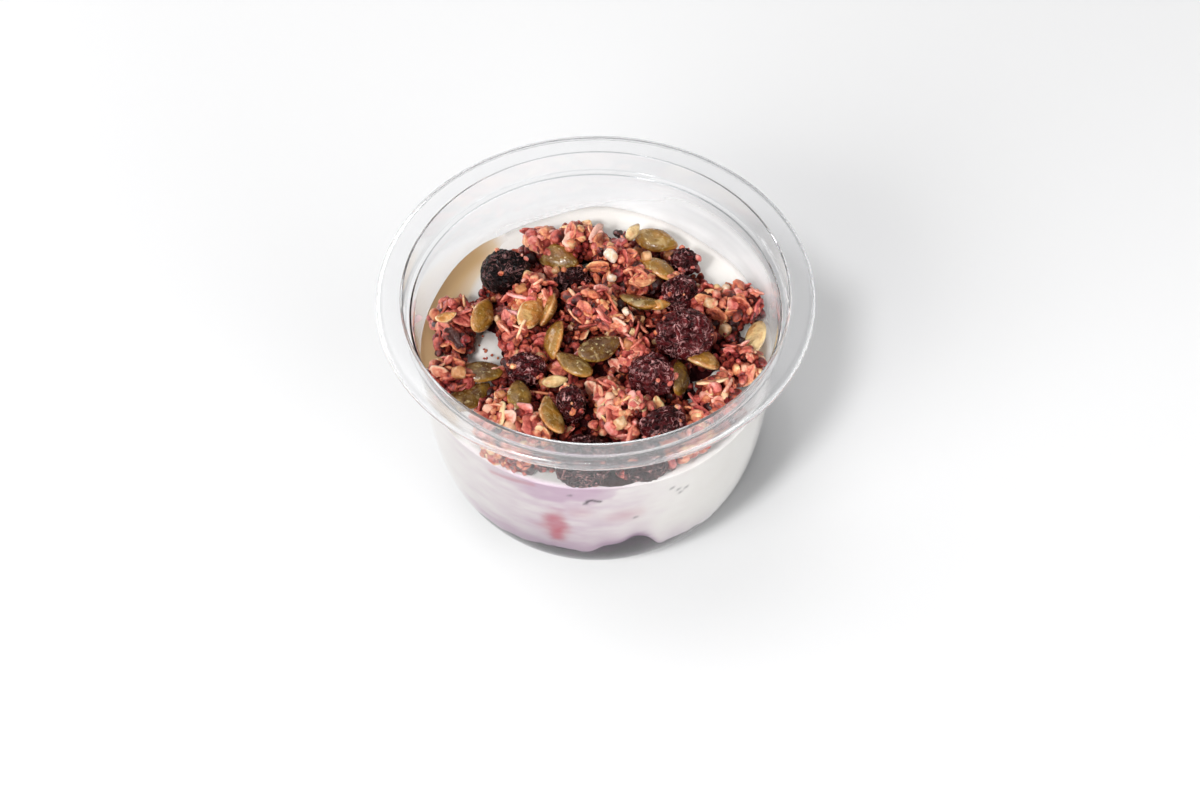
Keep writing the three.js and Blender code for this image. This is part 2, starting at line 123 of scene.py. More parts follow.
HONEY_WIDTH = 11.0
HONEY_DEPTH = 0.5
HONEY_LIFT = 0.02
HONEY_MENISCUS = 0.7
HONEY_MENISCUS_FADE = 0.8
HONEY_GRID = (96, 14)

# Marks on the yogurt's side, each place an angle and a height
BAND_EDGE = [
    (-125, 46.0), (-110, 41.5), (-102, 42.7), (-92.5, 42.6), (-85.5, 45.2), (-83, 49.5), (-70, 52.0),
]
DARK_STREAK = [(-94.0, 43.0), (-93.0, 44.5), (-91.8, 45.0), (-89.3, 44.5)]
DARK_SPECKS = [(-65.8, 44.3), (-63.5, 42.6), (-62.7, 40.8), (-60.6, 42.0), (-99.0, 46.5), (-78.0, 35.0)]
PINK_LINE = [(-126.0, 46.2), (-118.0, 47.4), (-111.0, 48.3)]
PINK_BLOTS = [(-85.0, 36.4), (-79.6, 36.9), (-97.0, 38.5)]
FRUIT_BLOB = (-104.3, 30.0)
FRUIT_BLOB_SIZE = (5.0, 7.6)
FRUIT_BLOB_SHADE_FOOT = (23, 29)

# Swirls on the yogurt's side: strength, middle and spread of each
LILAC_HAZE = [(0.62, -98, 24), (0.25, -132, 20), (0.1, 60, 70)]
LILAC_BAND = [(0.5, -100, 22)]
LILAC_BAND_BLUR = 1.4
LILAC_LOW = [(0.9, -132, 22), (0.5, -112, 16), (0.6, -60, 12)]
LILAC_LOW_FADE = (12, 27)
LILAC_FRINGE = [(0.9, -92, 40)]
PURPLE_EDGE = [(0.85, -78, 12), (0.5, -55, 12)]
PURPLE_LEFT = [(0.6, -112, 18)]

# Granola core and clusters: place, half size, flakes that stick out and tone of each cluster
CORE_RADIUS = 40.0
CORE_FLAT = 16.0
CORE_EDGE = 3.0
CORE_RISE = 3.0
CORE_LEFT = (16.0, 34.0)
CORE_LEFT_DROP = 1.4
CORE_NOTCHES = [(13.0, 190.0, 24.0), (6.0, -20.0, 9.0)]
CORE_FRONT = [(1.0, -80.0, 24.0), (0.8, -121.0, 8.0)]
CORE_FRONT_REACH = 7.6
CORE_WAVE = 1.2
CORE_WAVES = 7
CORE_INSET = 1.0
CORE_UNDER = 0.6
CORE_INTO_YOGURT = 0.8
CORE_RIPPLE = 0.7
CORE_RIPPLE_SIZE = 2.6
CORE_RIM_DROP = 3.2
CORE_FRONT_LIFT = 5.7
CORE_GRID = (96, 30)
CLUSTER_LIFT = 0.4
CLUSTER_FLATNESS = 0.72
CLUSTER_LUMP = 0.8
LUMP_SHRINK = 0.88
CLUSTERS = [
    (-38.3, 7.5, 6.4, 5, 0.05),
    (-38.0, 0.0, 5.8, 5, -0.05),
    (-39.0, -12.5, 6.2, 5, 0.02),
    (-25.0, -27.5, 7.6, 5, 0.08),
    (-16.5, -33.5, 6.0, 4, 0.06),
    (-17.5, 13.0, 6.5, 6, 0.0),
    (-22.8, 0.5, 4.8, 4, -0.06),
    (-14.5, 33.0, 6.0, 3, 0.04),
    (-4.5, 33.0, 7.0, 5, 0.08),
    (-0.5, 5.5, 7.5, 8, -0.3),
    (8.0, 0.5, 4.5, 2, 0.02),
    (6.0, 24.5, 6.5, 4, -0.2),
    (12.0, 17.5, 5.0, 3, -0.18),
    (7.5, -29.5, 8.0, 6, 0.2),
    (10.0, -8.5, 4.5, 2, -0.08),
    (30.5, 10.5, 5.5, 4, -0.02),
    (40.0, 10.5, 6.5, 6, 0.0),
    (38.5, -11.0, 6.6, 5, 0.2),
    (31.5, -22.0, 6.5, 4, 0.02),
    (25.0, -31.0, 5.5, 4, 0.06),
    (-20.0, -38.0, 5.0, 3, 0.0),
    (13.6, -25.8, 4.0, 2, 0.16),
    (2.3, -21.4, 4.0, 2, 0.12),
]
EXTRA_FLAKES = 6
GRAINS_PER_AREA = 0.8
BASE_GRAINS_PER_AREA = 1.1
# Pieces below these crests get painted shade, darker the deeper they lie
CREST_Z = 60.0
CREST_DEPTH = 7.0

# Loose grains and flakes: range of the radius or length, then middle and spread of the tone
LOOSE_FLAKE = ((3.8, 6.8), (0.5, 0.18))
LOOSE_GRAIN = ((0.6, 1.4), (0.42, 0.18))
WALL_GRAIN = ((0.8, 1.8), (0.36, 0.16))
COLLAR_GRAIN = ((0.8, 1.6), (0.6, 0.15))
CRUMB_LIMIT = 0.5
CRUMB = ((0.2, CRUMB_LIMIT), (0.75, 0.1))
BERRY_CRUMB = ((0.35, 0.95), (0.45, 0.15))

# Grains under the clusters and between them, dark as painted shade: ranges of the radius and the tone
UNDER_GRAIN = ((0.8, 1.4), (0.05, 0.32))
BASE_GRAIN = ((0.8, 1.5), (0.02, 0.3))

# Other ranges: radius, length or half size, and how far a grain is stretched
CLUSTER_GRAIN = (0.8, 1.75)
CLUSTER_FLAKE = (4.8, 8.0)
WALL_FLAKE = (4.0, 5.5)
BUNCH_GRAIN = (0.9, 1.9)
SMALL_BIT = (0.9, 1.9)
STRETCH = (0.8, 1.25)

# Loose pieces, and the heap's hollows and the gaps that show yogurt, each a place and a radius
GOLDEN_ANGLE = math.pi * (3 - math.sqrt(5))
FULL_TURN = 6.28
UP = np.array([0, 0, 1.0])
LOOSE_FLAKES = 130
LOOSE_GRAINS = 620
BASE_GRAINS = 900
WALL_GRAINS = 165
WALL_FLAKES = 22
WALL_SPAN = (-134, -38)
WALL_Z = 50.2
WALL_HEAP = 6.5
WALL_RAG = 2.4
WALL_RAG_SIZE = 6
WALL_GAP = (0.0, 3.5)
COLLAR_GRAINS = 70
COLLAR_Z = (55.5, 60.5)
COLLAR_GAP = (0.2, 5.0)
COLLAR_OVER_HEAP = 5.0
SMALL_BITS = 60
SMALL_BITS_RADIUS = 37
CRUMBS = 36
BERRY_CRUMBS = 7
HOLLOWS = [
    (-9.6, 11.0, 3.2),
    (14.5, 14.0, 3.0),
    (27.5, 10.5, 2.8),
    (31.0, -6.5, 3.2),
    (0.7, -14.5, 3.0),
    (22.5, -15.0, 2.6),
    (-2.0, -31.0, 2.6),
    (-27.5, -8.5, 2.4),
]
YOGURT_GAPS = [
    (-30.4, 1.0, 5.7),
    (-29.0, -4.5, 3.5),
    (-33.5, -20.0, 3.6),
    (27.9, -14.3, 3.0),
    (34.2, -10.8, 2.8),
    (26.0, -20.2, 2.4),
    (-2.6, 28.2, 2.8),
]

# How deep the core is there, and from which to which share of the radius it rises
CORE_SINKS = [(HOLLOWS, 2.2, 0.5, 1.2), (YOGURT_GAPS, 5.5, 0.75, 1.15)]

# Bunches of grains against the wall: angle, height, spread of the angle and tone
BUNCH_GRAINS = 28
BUNCH_SPREAD = 1.5
BUNCH_GAP = (0.0, 0.6)
BUNCHES = [
    (-128.0, 52.4, 1.6, 0.8),
    (-117.5, 52.6, 2.6, 0.5),
    (-54.0, 55.0, 4.0, 0.8),
]

# Pumpkin seeds: place, turn of the long side, lean about it, and tone from olive over brown to pale gold
SEED_LENGTH = 12.4
SEEDS = [
    (-20.5, -24.0, 60.0, 90, 10, 0.22),
    (-6.0, -13.5, 60.0, -40, 10, 0.18),
    (1.0, -8.5, 60.5, 25, 15, -0.06),
    (-11.5, -4.0, 59.5, 85, 50, 0.38),
    (-17.5, 5.0, 60.0, 65, 25, 0.72),
    (-12.5, 6.0, 59.5, 75, 75, 0.5),
    (-30.5, 7.0, 57.0, 70, 40, 0.45),
    (-31.5, -12.0, 55.5, 0, 5, 0.1),
    (-34.0, -19.0, 53.5, 35, 5, 0.05),
    (17.0, 21.5, 59.5, -38, 20, 0.42),
    (17.0, 33.0, 57.5, -20, 15, 0.35),
    (12.0, 8.5, 59.5, -15, 30, 0.2),
    (22.5, -16.0, 57.5, 85, 50, 0.15),
    (43.0, -1.0, 55.0, 80, 40, 0.97),
    (-12.0, -30.5, 59.0, 105, 35, 0.42),
    (27.5, -9.5, 58.0, -30, 20, 0.5),
    (-10.5, 27.5, 57.0, -25, 30, 0.35),
]

# Small pale kernels: place, turn, lean, length and tone
KERNEL_FORM = np.array([1, 0.85, 1.5])
KERNELS = [
    (-40.5, 2.9, 60.8, 20, 10, 6.0, 0.66),
    (-11.0, -18.9, 59.6, 10, 20, 7.0, 0.9),
    (17.4, 7.1, 60.2, 10, 30, 6.0, 0.62),
    (10.5, 34.0, 60.0, 60, 30, 6.8, 1.0),
]

# Crystals and nut pieces: place, half size and tone
CRYSTALS = [
    (4.3, 22.8, 63.0, 1.9, 0.82),
    (4.5, 16.0, 61.2, 1.2, 0.78),
    (8.1, 2.6, 62.6, 1.1, 0.78),
    (-36.9, -14.8, 58.6, 2.0, 0.35),
    (14.0, 24.0, 61.0, 1.6, 0.45),
    (35.5, 14.0, 58.4, 1.4, 0.7),
]

# Points around and along each small shape
GRAIN_GRID = (10, 7)
SMALL_GRAIN_GRID = (8, 5)
CHUNK_GRID = (12, 8)
FLAKE_GRID = (20, 5)
SEED_GRID = (26, 8)
LUMP_GRID = (28, 18)
BERRY_GRID = (128, 80)

# Forms of a flake and a seed, as shares of the length
FLAKE_HALF_WIDTH = 0.29
FLAKE_DOME = 0.05
FLAKE_EDGE = 0.035
SEED_HALF_WIDTH = 0.285
SEED_DOME = 0.115
SEED_MARGIN = 0.014

# Dried berries: place of the middle, half sizes, turn about z, and tone from black to dark red
BERRIES = [
    (-24.5, 19.5, 60.0, 6.7, 6.2, 7.6, 20, -0.28),
    (23.5, -4.5, 61.0, 7.8, 7.2, 6.8, 10, 0.42),
    (22.5, 12.5, 59.0, 5.8, 5.0, 4.8, 35, 0.35),
    (24.5, 25.5, 57.0, 4.4, 4.0, 3.6, 0, 0.3),
    (14.5, -17.5, 60.0, 7.0, 5.8, 5.8, -40, 0.45),
    (-6.8, -26.5, 59.0, 3.8, 4.4, 6.2, 15, 0.3),
    (-18.5, -13.5, 58.0, 5.6, 4.6, 4.6, 0, 0.38),
    (17.0, -34.0, 60.5, 6.4, 4.4, 4.4, 25, 0.3),
    (-6.5, 19.0, 57.0, 5.6, 3.6, 3.6, 20, 0.1),
    (-3.4, -42.3, 54.2, 8.6, 7.4, 7.0, 0, 0.2),
    (12.2, -40.8, 53.4, 6.2, 6.4, 5.8, 15, 0.2),
]

# Floor
FLOOR_HALF = 2500.0
FLOOR_Z = -0.05

# Light panels: azimuth, elevation, distance, width and height, and power
PANELS = {
    "key": (238, 46, 1500, (260, 260), 11.4),
    "key_soft": (230, 27, 1500, (1100, 1100), 15.4),
    "top": (122, 66, 1500, (900, 900), 3.6),
    "fill": (-36, 11, 1300, (1600, 480), 15.5),
    "back": (145, 7, 1300, (1500, 300), 11.5),
}
PANEL_AIM = (0.0, 0.0, 30.0)

# Snoots: azimuth, elevation, power, the place that they light and its radius
SNOOTS = {
    "snoot_heap": (262, 55, 8, (4, -22, 58), 38),
    "snoot_back": (235, 74, 9, (24, 28, 51), 28),
    "snoot_left": (215, 82, 20, (-30, -2, 52), 11),
}
SNOOT_DISTANCE = 1000.0
SNOOT_SOFTNESS = 60.0
SNOOT_BLEND = 0.5


# Small tools for shapes
def smooth(value, low, high):
    share = np.clip((value - low) / (high - low), 0, 1)
    return share * share * (3 - 2 * share)


def bumps(table, angle):
    """The sum of bumps around the pot, each given by its height, middle and spread."""
    total = 0
    for height, middle, spread in table:
        apart = (angle - middle + 180) % 360 - 180
        total = total + height * np.exp(-((apart / spread) ** 2))
    return total


def lattice_noise(points, seed=0):
    """Smooth noise from -1 to 1, with one bump a unit."""
    base = np.floor(points).astype(np.int64)
    part = points - base
    weight = part * part * (3 - 2 * part)
    total = np.zeros(len(points))
    for corner in range(8):
        step = np.array([corner & 1, corner >> 1 & 1, corner >> 2 & 1])
        cell = (base + step) * np.array([73856093, 19349663, 83492791])
        key = np.bitwise_xor.reduce(cell, axis=1) ^ (seed * 668265263)
        for shift, factor in ((13, 1274126177), (15, 2246822519)):
            key = ((key ^ (key >> shift)) * factor) & 0xFFFFFFFF
        value = ((key ^ (key >> 16)) & 0xFFFF) / 32767.5 - 1
        total += value * np.where(step, weight, 1 - weight).prod(axis=1)
    return total


def layered_noise(points, seed=0, octaves=3):
    total = np.zeros(len(points))
    for octave in range(octaves):
        total += lattice_noise(points * 2**octave + 17.3 * octave, seed + octave) / 2**octave
    return total


def turn_z(angle):
    c, s = math.cos(math.radians(angle)), math.sin(math.radians(angle))
    return np.array([[c, -s, 0], [s, c, 0], [0, 0, 1]])


def turn_x(angle):
    return np.roll(turn_z(angle), 1, axis=(0, 1))


def facing(normal, spin):
    """A turn that lays z along the normal."""
    up = normal / np.linalg.norm(normal)
    side = np.cross(up, [0.31, 0.87, 0.39])
    side /= np.linalg.norm(side)
    along = math.cos(spin) * side + math.sin(spin) * np.cross(up, side)
    return np.stack([along, np.cross(up, along), up], axis=1)


def direction(around, lift):
    """A unit vector at an angle around z, with the given rise."""
    flat = math.sqrt(max(0.0, 1 - lift * lift))
    return np.array([flat * math.cos(around), flat * math.sin(around), lift])


def circle(count):
    return np.linspace(0, 2 * np.pi, count, endpoint=False)


def ring_points(reach, angles, z):
    """Points around the axis, at a distance and height for each."""
    return np.stack(np.broadcast_arrays(reach * np.cos(angles), reach * np.sin(angles), z), axis=-1)


def ring_quads(rows, columns):
    """Quads between closed rows of points."""
    i, j = np.meshgrid(np.arange(rows - 1), np.arange(columns), indexing="ij")
    k = (j + 1) % columns
    quads = [i * columns + j, i * columns + k, (i + 1) * columns + k, (i + 1) * columns + j]
    return np.stack(quads, axis=-1).reshape(-1, 4)


def fan(middle, start, columns):
    """Triangles from a middle point to the closed row that begins at a start."""
    j = np.arange(columns)
    return np.stack([np.full(columns, middle), start + j, start + (j + 1) % columns], axis=1)


def flipped(triangles):
    return triangles[:, [0, 2, 1]]


def capped(rows, columns):
    """Faces of closed rows of points, which two more points, for the first and last row, shut."""
    first = rows * columns
    caps = [flipped(fan(first, 0, columns)), fan(first + 1, first - columns, columns)]
    return [ring_quads(rows, columns), np.vstack(caps)]


def turned(profile, segments):
    """Turns a profile that starts and ends on the axis."""
    inner = profile[1:-1]
    rows = ring_points(inner[:, :1], circle(segments), inner[:, 1:])
    points = np.vstack([rows.reshape(-1, 3), [0, 0, profile[0, 1]], [0, 0, profile[-1, 1]]])
    return points, capped(len(inner), segments)


def sphere(segments, rings):
    """A unit sphere as points and triangles."""
    polar = np.linspace(0, np.pi, rings + 1)[1:-1, None]
    rows = ring_points(np.sin(polar), circle(segments), np.cos(polar))
    quads, caps = capped(rings - 1, segments)
    triangles = np.vstack([quads[:, [0, 3, 1]], quads[:, [1, 3, 2]], flipped(caps)])
    return np.vstack([rows.reshape(-1, 3), [0, 0, 1], [0, 0, -1]]), triangles


def bezier(points, steps):
    t = np.linspace(0, 1, steps + 1)[:, None]
    last = len(points) - 1
    weights = [math.comb(last, k) * t**k * (1 - t) ** (last - k) for k in range(last + 1)]
    return sum(weight * np.array(point, float) for weight, point in zip(weights, points))


def rounded(before, corner, after, size, steps=BEND_STEPS):
    """A rounded corner between the lines to the points before and after it."""
    before, corner, after = (np.array(p, float) for p in (before, corner, after))
    start = corner + (before - corner) / np.linalg.norm(before - corner) * size
    end = corner + (after - corner) / np.linalg.norm(after - corner) * size
    return bezier([start, corner, end], steps)


def new_piece(name, points, face_sets, material, marks=None):
    """A smooth shaded mesh object from arrays, in metres, with a number on each point for each mark."""
    mesh = bpy.data.meshes.new(name)
    faces = [face for face_set in face_sets for face in face_set.tolist()]
    mesh.from_pydata((np.asarray(points) * MM).tolist(), [], faces)
    mesh.shade_smooth()
    for mark, values in (marks or {}).items():
        attribute = mesh.attributes.new(mark, "FLOAT", "POINT")
        attribute.data.foreach_set("value", np.asarray(values, np.float32))
    mesh.validate()
    mesh.materials.append(material)
    piece = bpy.data.objects.new(name, mesh)
    bpy.context.scene.collection.objects.link(piece)
    return piece


def belongs(piece, node):
    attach(piece, "root")
    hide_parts(node)


# Pot
def inner_corner(before, corner, after):
    """Where a corner of the outer face lies on the inner face."""
    legs = np.array([np.subtract(corner, before), np.subtract(after, corner)])
    legs /= np.linalg.norm(legs, axis=1)[:, None]
    sides = np.stack([-legs[:, 1], legs[:, 0]], axis=1)
    return corner + WALL * sides.sum(axis=0) / (1 + sides[0] @ sides[1])


def bent(line, sizes):
    """A line with a rounded corner of each size."""
    bends = [rounded(*line[i:i + 3], size) for i, size in enumerate(sizes)]
    return np.vstack([*bends, line[-1]])


def pot_faces():
    """The outer face, the inner face and its bowl, from the middle of the foot to the end of the lip."""
    slope, draft = math.radians(BOWL_FOOT_SLOPE), math.radians(BOWL_TOP_DRAFT)
    foot_inner = FOOT_RADIUS - FOOT_WIDTH
    recess_edge = (foot_inner - FOOT_RECESS, FOOT_RECESS)
    bowl = bezier([
        (FOOT_RADIUS, 0),
        (FOOT_RADIUS + BOWL_FOOT_REACH * math.cos(slope), BOWL_FOOT_REACH * math.sin(slope)),
        (BOWL_TOP[0] - BOWL_TOP_REACH * math.sin(draft), BOWL_TOP[1] - BOWL_TOP_REACH * math.cos(draft)),
        BOWL_TOP,
    ], BOWL_STEPS)
    lower = np.vstack([
        [(0, FOOT_RECESS)],
        rounded((0, FOOT_RECESS), recess_edge, (foot_inner, 0), FOOT_CORNER, 3),
        rounded(recess_edge, (foot_inner, 0), (FOOT_RADIUS, 0), FOOT_CORNER, 3),
        bowl,
    ])
    steps = np.diff(lower, axis=0)
    steps /= np.linalg.norm(steps, axis=1)[:, None]
    along = np.vstack([steps[:1], steps[:-1] + steps[1:], steps[-1:]])
    along /= np.linalg.norm(along, axis=1)[:, None]
    lower_in = lower + WALL * np.stack([-along[:, 1], along[:, 0]], axis=1)
    lower_in[0, 0] = 0
    flange, lip = POT_HEIGHT - WALL, RIM_RADIUS - WALL
    upper = np.array([
        BOWL_TOP,
        (BOWL_TOP[0] + COLLAR_LEAN, LEDGE_Z - CORNER),
        (COLLAR_RADIUS - COLLAR_LEAN, LEDGE_Z - CORNER / 2),
        (COLLAR_RADIUS, flange),
        (lip, flange),
        (lip, POT_HEIGHT - LIP_DROP),
    ])
    corners = [inner_corner(*upper[i - 1:i + 2]) for i in range(1, 5)]
    upper_in = np.vstack([lower_in[-1], corners, upper[-1] + (WALL, 0)])
    outer = np.vstack([lower, bent(upper, OUTER_BENDS)])
    inner = np.vstack([lower_in, bent(upper_in, INNER_BENDS)])
    # Painted shade for each point of a face: a dark tint along each bend
    arc = [0, *[1] * (BEND_STEPS - 1), 0]
    bends = np.concatenate([np.zeros(len(lower)), np.outer(BEND_SHADE_TINTS, arc).ravel(), BEND_SHADE_TINTS[-1:]])
    return outer, inner, lower_in[-BOWL_STEPS - 1:], bends


outer_face, inner_face, bowl_inside, face_bend_shade = pot_faces()


def wall_radius(z):
    return np.interp(z, bowl_inside[:, 1], bowl_inside[:, 0])


def kept_inside(points):
    """Points that are pressed flat where they would reach the pot's wall."""
    out = np.hypot(points[:, 0], points[:, 1])
    share = np.minimum(1, (wall_radius(points[:, 2]) - CLEAR_OF_WALL) / np.maximum(out, 1e-6))
    return points * np.stack([share, share, np.ones(len(points))], axis=1)


# Surfaces of the contents, seen from above
def compote_top(x, y):
    angle = np.degrees(np.arctan2(y, x))
    waves = WAVE_HEIGHT * (np.sin(x / COMPOTE_WAVE) + np.cos(y / COMPOTE_WAVE + x / (2 * COMPOTE_WAVE)))
    flat = np.stack([x, y, 0 * x], axis=-1).reshape(-1, 3)
    ragged = COMPOTE_RAGGED * layered_noise(flat / COMPOTE_RAG_SIZE, 23).reshape(np.shape(x))
    edge = sum(np.interp(angle + turn, *np.transpose(COMPOTE_EDGE)) for turn in (-2, -1, 0, 1, 2)) / 5
    return COMPOTE_LEVEL + smooth(np.hypot(x, y), *COMPOTE_SLOPE) * (edge - COMPOTE_LEVEL + ragged) + waves


def yogurt_top(x, y):
    angle, reach = np.degrees(np.arctan2(y, x)), np.hypot(x, y)
    turn = np.radians(angle)
    waves = WAVE_HEIGHT * np.sin(x / YOGURT_WAVE + 1) * np.cos(y / YOGURT_WAVE)
    rise = smooth(reach, *YOGURT_RISE_REACH) * (bumps(YOGURT_RISES, angle) + waves)
    smear = 1 + 0.2 * np.sin(turn * 5 + 1) + 0.12 * np.sin(turn * 13)
    film = smooth(reach, *YOGURT_FILM_REACH) ** 2 * bumps(YOGURT_FILM, angle) * smear
    mounds = 0
    for gx, gy, radius in YOGURT_GAPS:
        near = 1 - smooth(np.hypot(x - gx, y - gy), 0.2 * radius, 1.3 * radius)
        mounds = np.maximum(mounds, GAP_RISE * near)
    return YOGURT_LEVEL + rise + film + mounds


def core_top(x, y):
    inward = 1 - smooth(np.hypot(x, y), CORE_FLAT, CORE_RADIUS)
    return YOGURT_LEVEL + CORE_EDGE - CORE_LEFT_DROP * smooth(-x, *CORE_LEFT) + CORE_RISE * inward


def core_sink(x, y):
    """How far the core is lowered in its hollows and where the yogurt shows."""
    sink = np.zeros_like(x)
    for places, depth, inner, outer in CORE_SINKS:
        for px, py, radius in places:
            near = 1 - smooth(np.hypot(x - px, y - py), inner * radius, outer * radius)
            sink = np.maximum(sink, depth * near)
    return sink


def core_edge(angle):
    front = CORE_FRONT_REACH * bumps(CORE_FRONT, angle)
    waves = CORE_WAVE * np.sin(np.radians(angle) * CORE_WAVES)
    return CORE_RADIUS - bumps(CORE_NOTCHES, angle) + front + waves


def filled_layer(bottom, top, side_steps, rings):
    """A closed layer between two surfaces that reaches just into the pot's wall."""
    angles = circle(LAYER_SEGMENTS)
    c, s = np.cos(angles), np.sin(angles)

    def wall_height(surface):
        reach = np.full(LAYER_SEGMENTS, CORE_RADIUS)
        for _ in range(6):
            height = surface(reach * c, reach * s)
            reach = wall_radius(height) + INTO_WALL
        return height, reach

    def ring(surface, reach):
        x, y = reach * c, reach * s
        return np.stack([x, y, surface(x, y)], axis=1)

    low, low_reach = wall_height(bottom)
    high, high_reach = wall_height(top)
    shares = np.linspace(0, 1, rings + 1)[1:-1]
    rows = [ring(bottom, share * low_reach) for share in shares]
    for share in np.linspace(0, 1, side_steps + 1):
        z = low + (high - low) * share
        rows.append(ring_points(wall_radius(z) + INTO_WALL, angles, z))
    rows += [ring(top, share * high_reach) for share in shares[::-1]]
    origin = np.zeros(1)
    ends = [[0, 0, surface(origin, origin)[0]] for surface in (bottom, top)]
    return np.vstack([*rows, ends]), capped(len(rows), LAYER_SEGMENTS)


# Materials
class Graph:
    """The shader nodes of a material or world, with short ways to add and join them."""

    def __init__(self, owner):
        owner.use_nodes = True
        self.nodes, self.links = owner.node_tree.nodes, owner.node_tree.links

    def feed(self, socket, value):
        """Links a socket to another, or sets it to a number or a colour."""
        if isinstance(value, bpy.types.NodeSocket):
            self.links.new(value, socket)
        elif isinstance(value, (int, float)):
            socket.default_value = value
        else:
            socket.default_value = (*value, 1)

    def set(self, node, **inputs):
        """Feeds inputs of a node, named with _ for a space."""
        for name, value in inputs.items():
            self.feed(node.inputs[name.replace("_", " ")], value)

    def add(self, kind, output, **inputs):
        """An output of a new node, with its inputs fed."""
        node = self.nodes.new("ShaderNode" + kind)
        self.set(node, **inputs)
        return node.outputs[output]

    def mark(self, name):
        node = self.nodes.new("ShaderNodeAttribute")
        node.attribute_name = name
        return node.outputs["Fac"]

    def noise(self, scale, detail, roughness, distortion=0.0):
        look = {"Scale": scale, "Detail": detail, "Roughness": roughness, "Distortion": distortion}
        return self.add("TexNoise", "Fac", Vector=self.add("TexCoord", "Object"), **look)

    def ramp(self, source, stops):
        """Colours along a number. Each stop is a position and a colour, or one number for a grey."""
        node = self.nodes.new("ShaderNodeValToRGB")
        elements = node.color_ramp.elements
        while len(elements) < len(stops):
            elements.new(0.5)
        for element, (position, colour) in zip(elements, stops):
            element.position = position
            element.color = (*np.broadcast_to(colour, 3), 1)
        self.feed(node.inputs["Fac"], source)
        return node.outputs["Color"]

    def mix(self, factor, first, second, blend="MIX"):
        """A mix of two colours, each a socket or a plain colour, by a socket or a number."""
        node = self.nodes.new("ShaderNodeMix")
        node.data_type = "RGBA"
        node.blend_type = blend
        node.clamp_factor = True
        sockets = {socket.identifier: socket for socket in (*node.inputs, *node.outputs)}
        for name, value in (("Factor_Float", factor), ("A_Color", first), ("B_Color", second)):
            self.feed(sockets[name], value)
        return sockets["Result_Color"]

    def maths(self, operation, *values):
        node = self.nodes.new("ShaderNodeMath")
        node.operation = operation
        for socket, value in zip(node.inputs, values):
            self.feed(socket, value)
        return node.outputs[0]

    def mottled(self, noise, width, shift):
        """The tone mark, made uneven by noise."""
        return self.maths("ADD", self.mark("tone"), self.maths("MULTIPLY_ADD", noise, width, shift))

    def bump(self, height, strength, distance, **normal):
        return self.add("Bump", "Normal", Height=height, Strength=strength, Distance=distance, **normal)


def new_material(name):
    material = bpy.data.materials.new(name)
    graph = Graph(material)
    return material, graph, graph.nodes["Principled BSDF"]


def clear_plastic():
    """Glass-like sheet, with painted shade at its bends and milky in places, that lets light through to
    what it holds.
    """
    material, graph, shader = new_material("clear_plastic")
    # Painted shade: a dark tint along the bends stands in for the dark lines the bent sheet shows
    tint = graph.mix(graph.mark("bend"), (0.972, 0.974, 0.98), (0.42, 0.43, 0.45))
    dull = graph.maths("MULTIPLY_ADD", graph.mark("lip"), 0.1, 0.04)
    clear = graph.maths("SUBTRACT", 1.0, graph.mark("milky"))
    graph.set(shader, Base_Color=tint, Roughness=dull, IOR=1.45, Transmission_Weight=clear)
    through = graph.add("BsdfTransparent", "BSDF", Color=(0.955, 0.955, 0.96))
    shadow = graph.add("LightPath", "Is Shadow Ray")
    either = graph.nodes.new("ShaderNodeMixShader")
    for socket, value in zip(either.inputs, (shadow, shader.outputs["BSDF"], through)):
        graph.feed(socket, value)
    graph.set(graph.nodes["Material Output"], Surface=either.outputs["Shader"])
    return material


def yogurt_cream():
    material, graph, shader = new_material("yogurt_cream")
    colour = graph.mix(graph.noise(90, 4, 0.6, 1.2), (0.90, 0.87, 0.82), (0.95, 0.93, 0.89))
    for mark, stain in (
        ("lilac", (0.60, 0.43, 0.54)),
        ("stain", (0.20, 0.10, 0.19)),
        ("fruit", (0.52, 0.12, 0.16)),
        ("speck", (0.05, 0.03, 0.045)),
    ):
        colour = graph.mix(graph.mark(mark), colour, stain)
    relief = graph.bump(graph.noise(260, 3, 0.5), 0.25, 0.0006)
    graph.set(shader, Base_Color=colour, Roughness=0.38, Specular_IOR_Level=0.4, Normal=relief)
    return material


def compote_dark():
    material, graph, shader = new_material("compote_dark")
    colour = graph.ramp(graph.noise(260, 3, 0.5, 0.4), [
        (0.35, (0.006, 0.002, 0.006)),
        (0.55, (0.022, 0.007, 0.020)),
        (0.75, (0.060, 0.016, 0.050)),
    ])
    graph.set(shader, Base_Color=colour, Roughness=0.4, Specular_IOR_Level=0.03)
    return material


def honey_amber():
    material, graph, shader = new_material("honey_amber")
    colour = graph.ramp(graph.mark("depth"), [
        (0.0, (0.90, 0.87, 0.83)),
        (0.35, (0.80, 0.64, 0.45)),
        (1.0, (0.62, 0.41, 0.21)),
    ])
    graph.set(shader, Base_Color=colour, Roughness=0.2)
    return material


def granola_red(name, stops, gloss, bump_scale, bump_depth, coat=0.55):
    """Baked food with a thin glossy coat, coloured by a tone mark that carries painted shade: dark in the
    folds, pale on the bumps.
    """
    material, graph, shader = new_material(name)
    colour = graph.ramp(graph.mottled(graph.noise(800, 5, 0.65), 1.0, -0.5), stops)
    tint = graph.ramp(graph.mark("hue"), [
        (0.0, (0.94, 0.70, 0.95)),
        (0.5, (1.0, 1.0, 1.0)),
        (1.0, (1.0, 1.22, 0.85)),
    ])
    relief = graph.bump(graph.noise(bump_scale, 4, 0.65), 0.8, bump_depth)
    graph.set(shader, Base_Color=graph.mix(1.0, colour, tint, "MULTIPLY"), Roughness=gloss, Normal=relief)
    graph.set(shader, Specular_IOR_Level=0.5 * coat)
    graph.set(shader, Coat_Weight=coat, Coat_Roughness=0.12, Coat_Normal=relief)
    return material


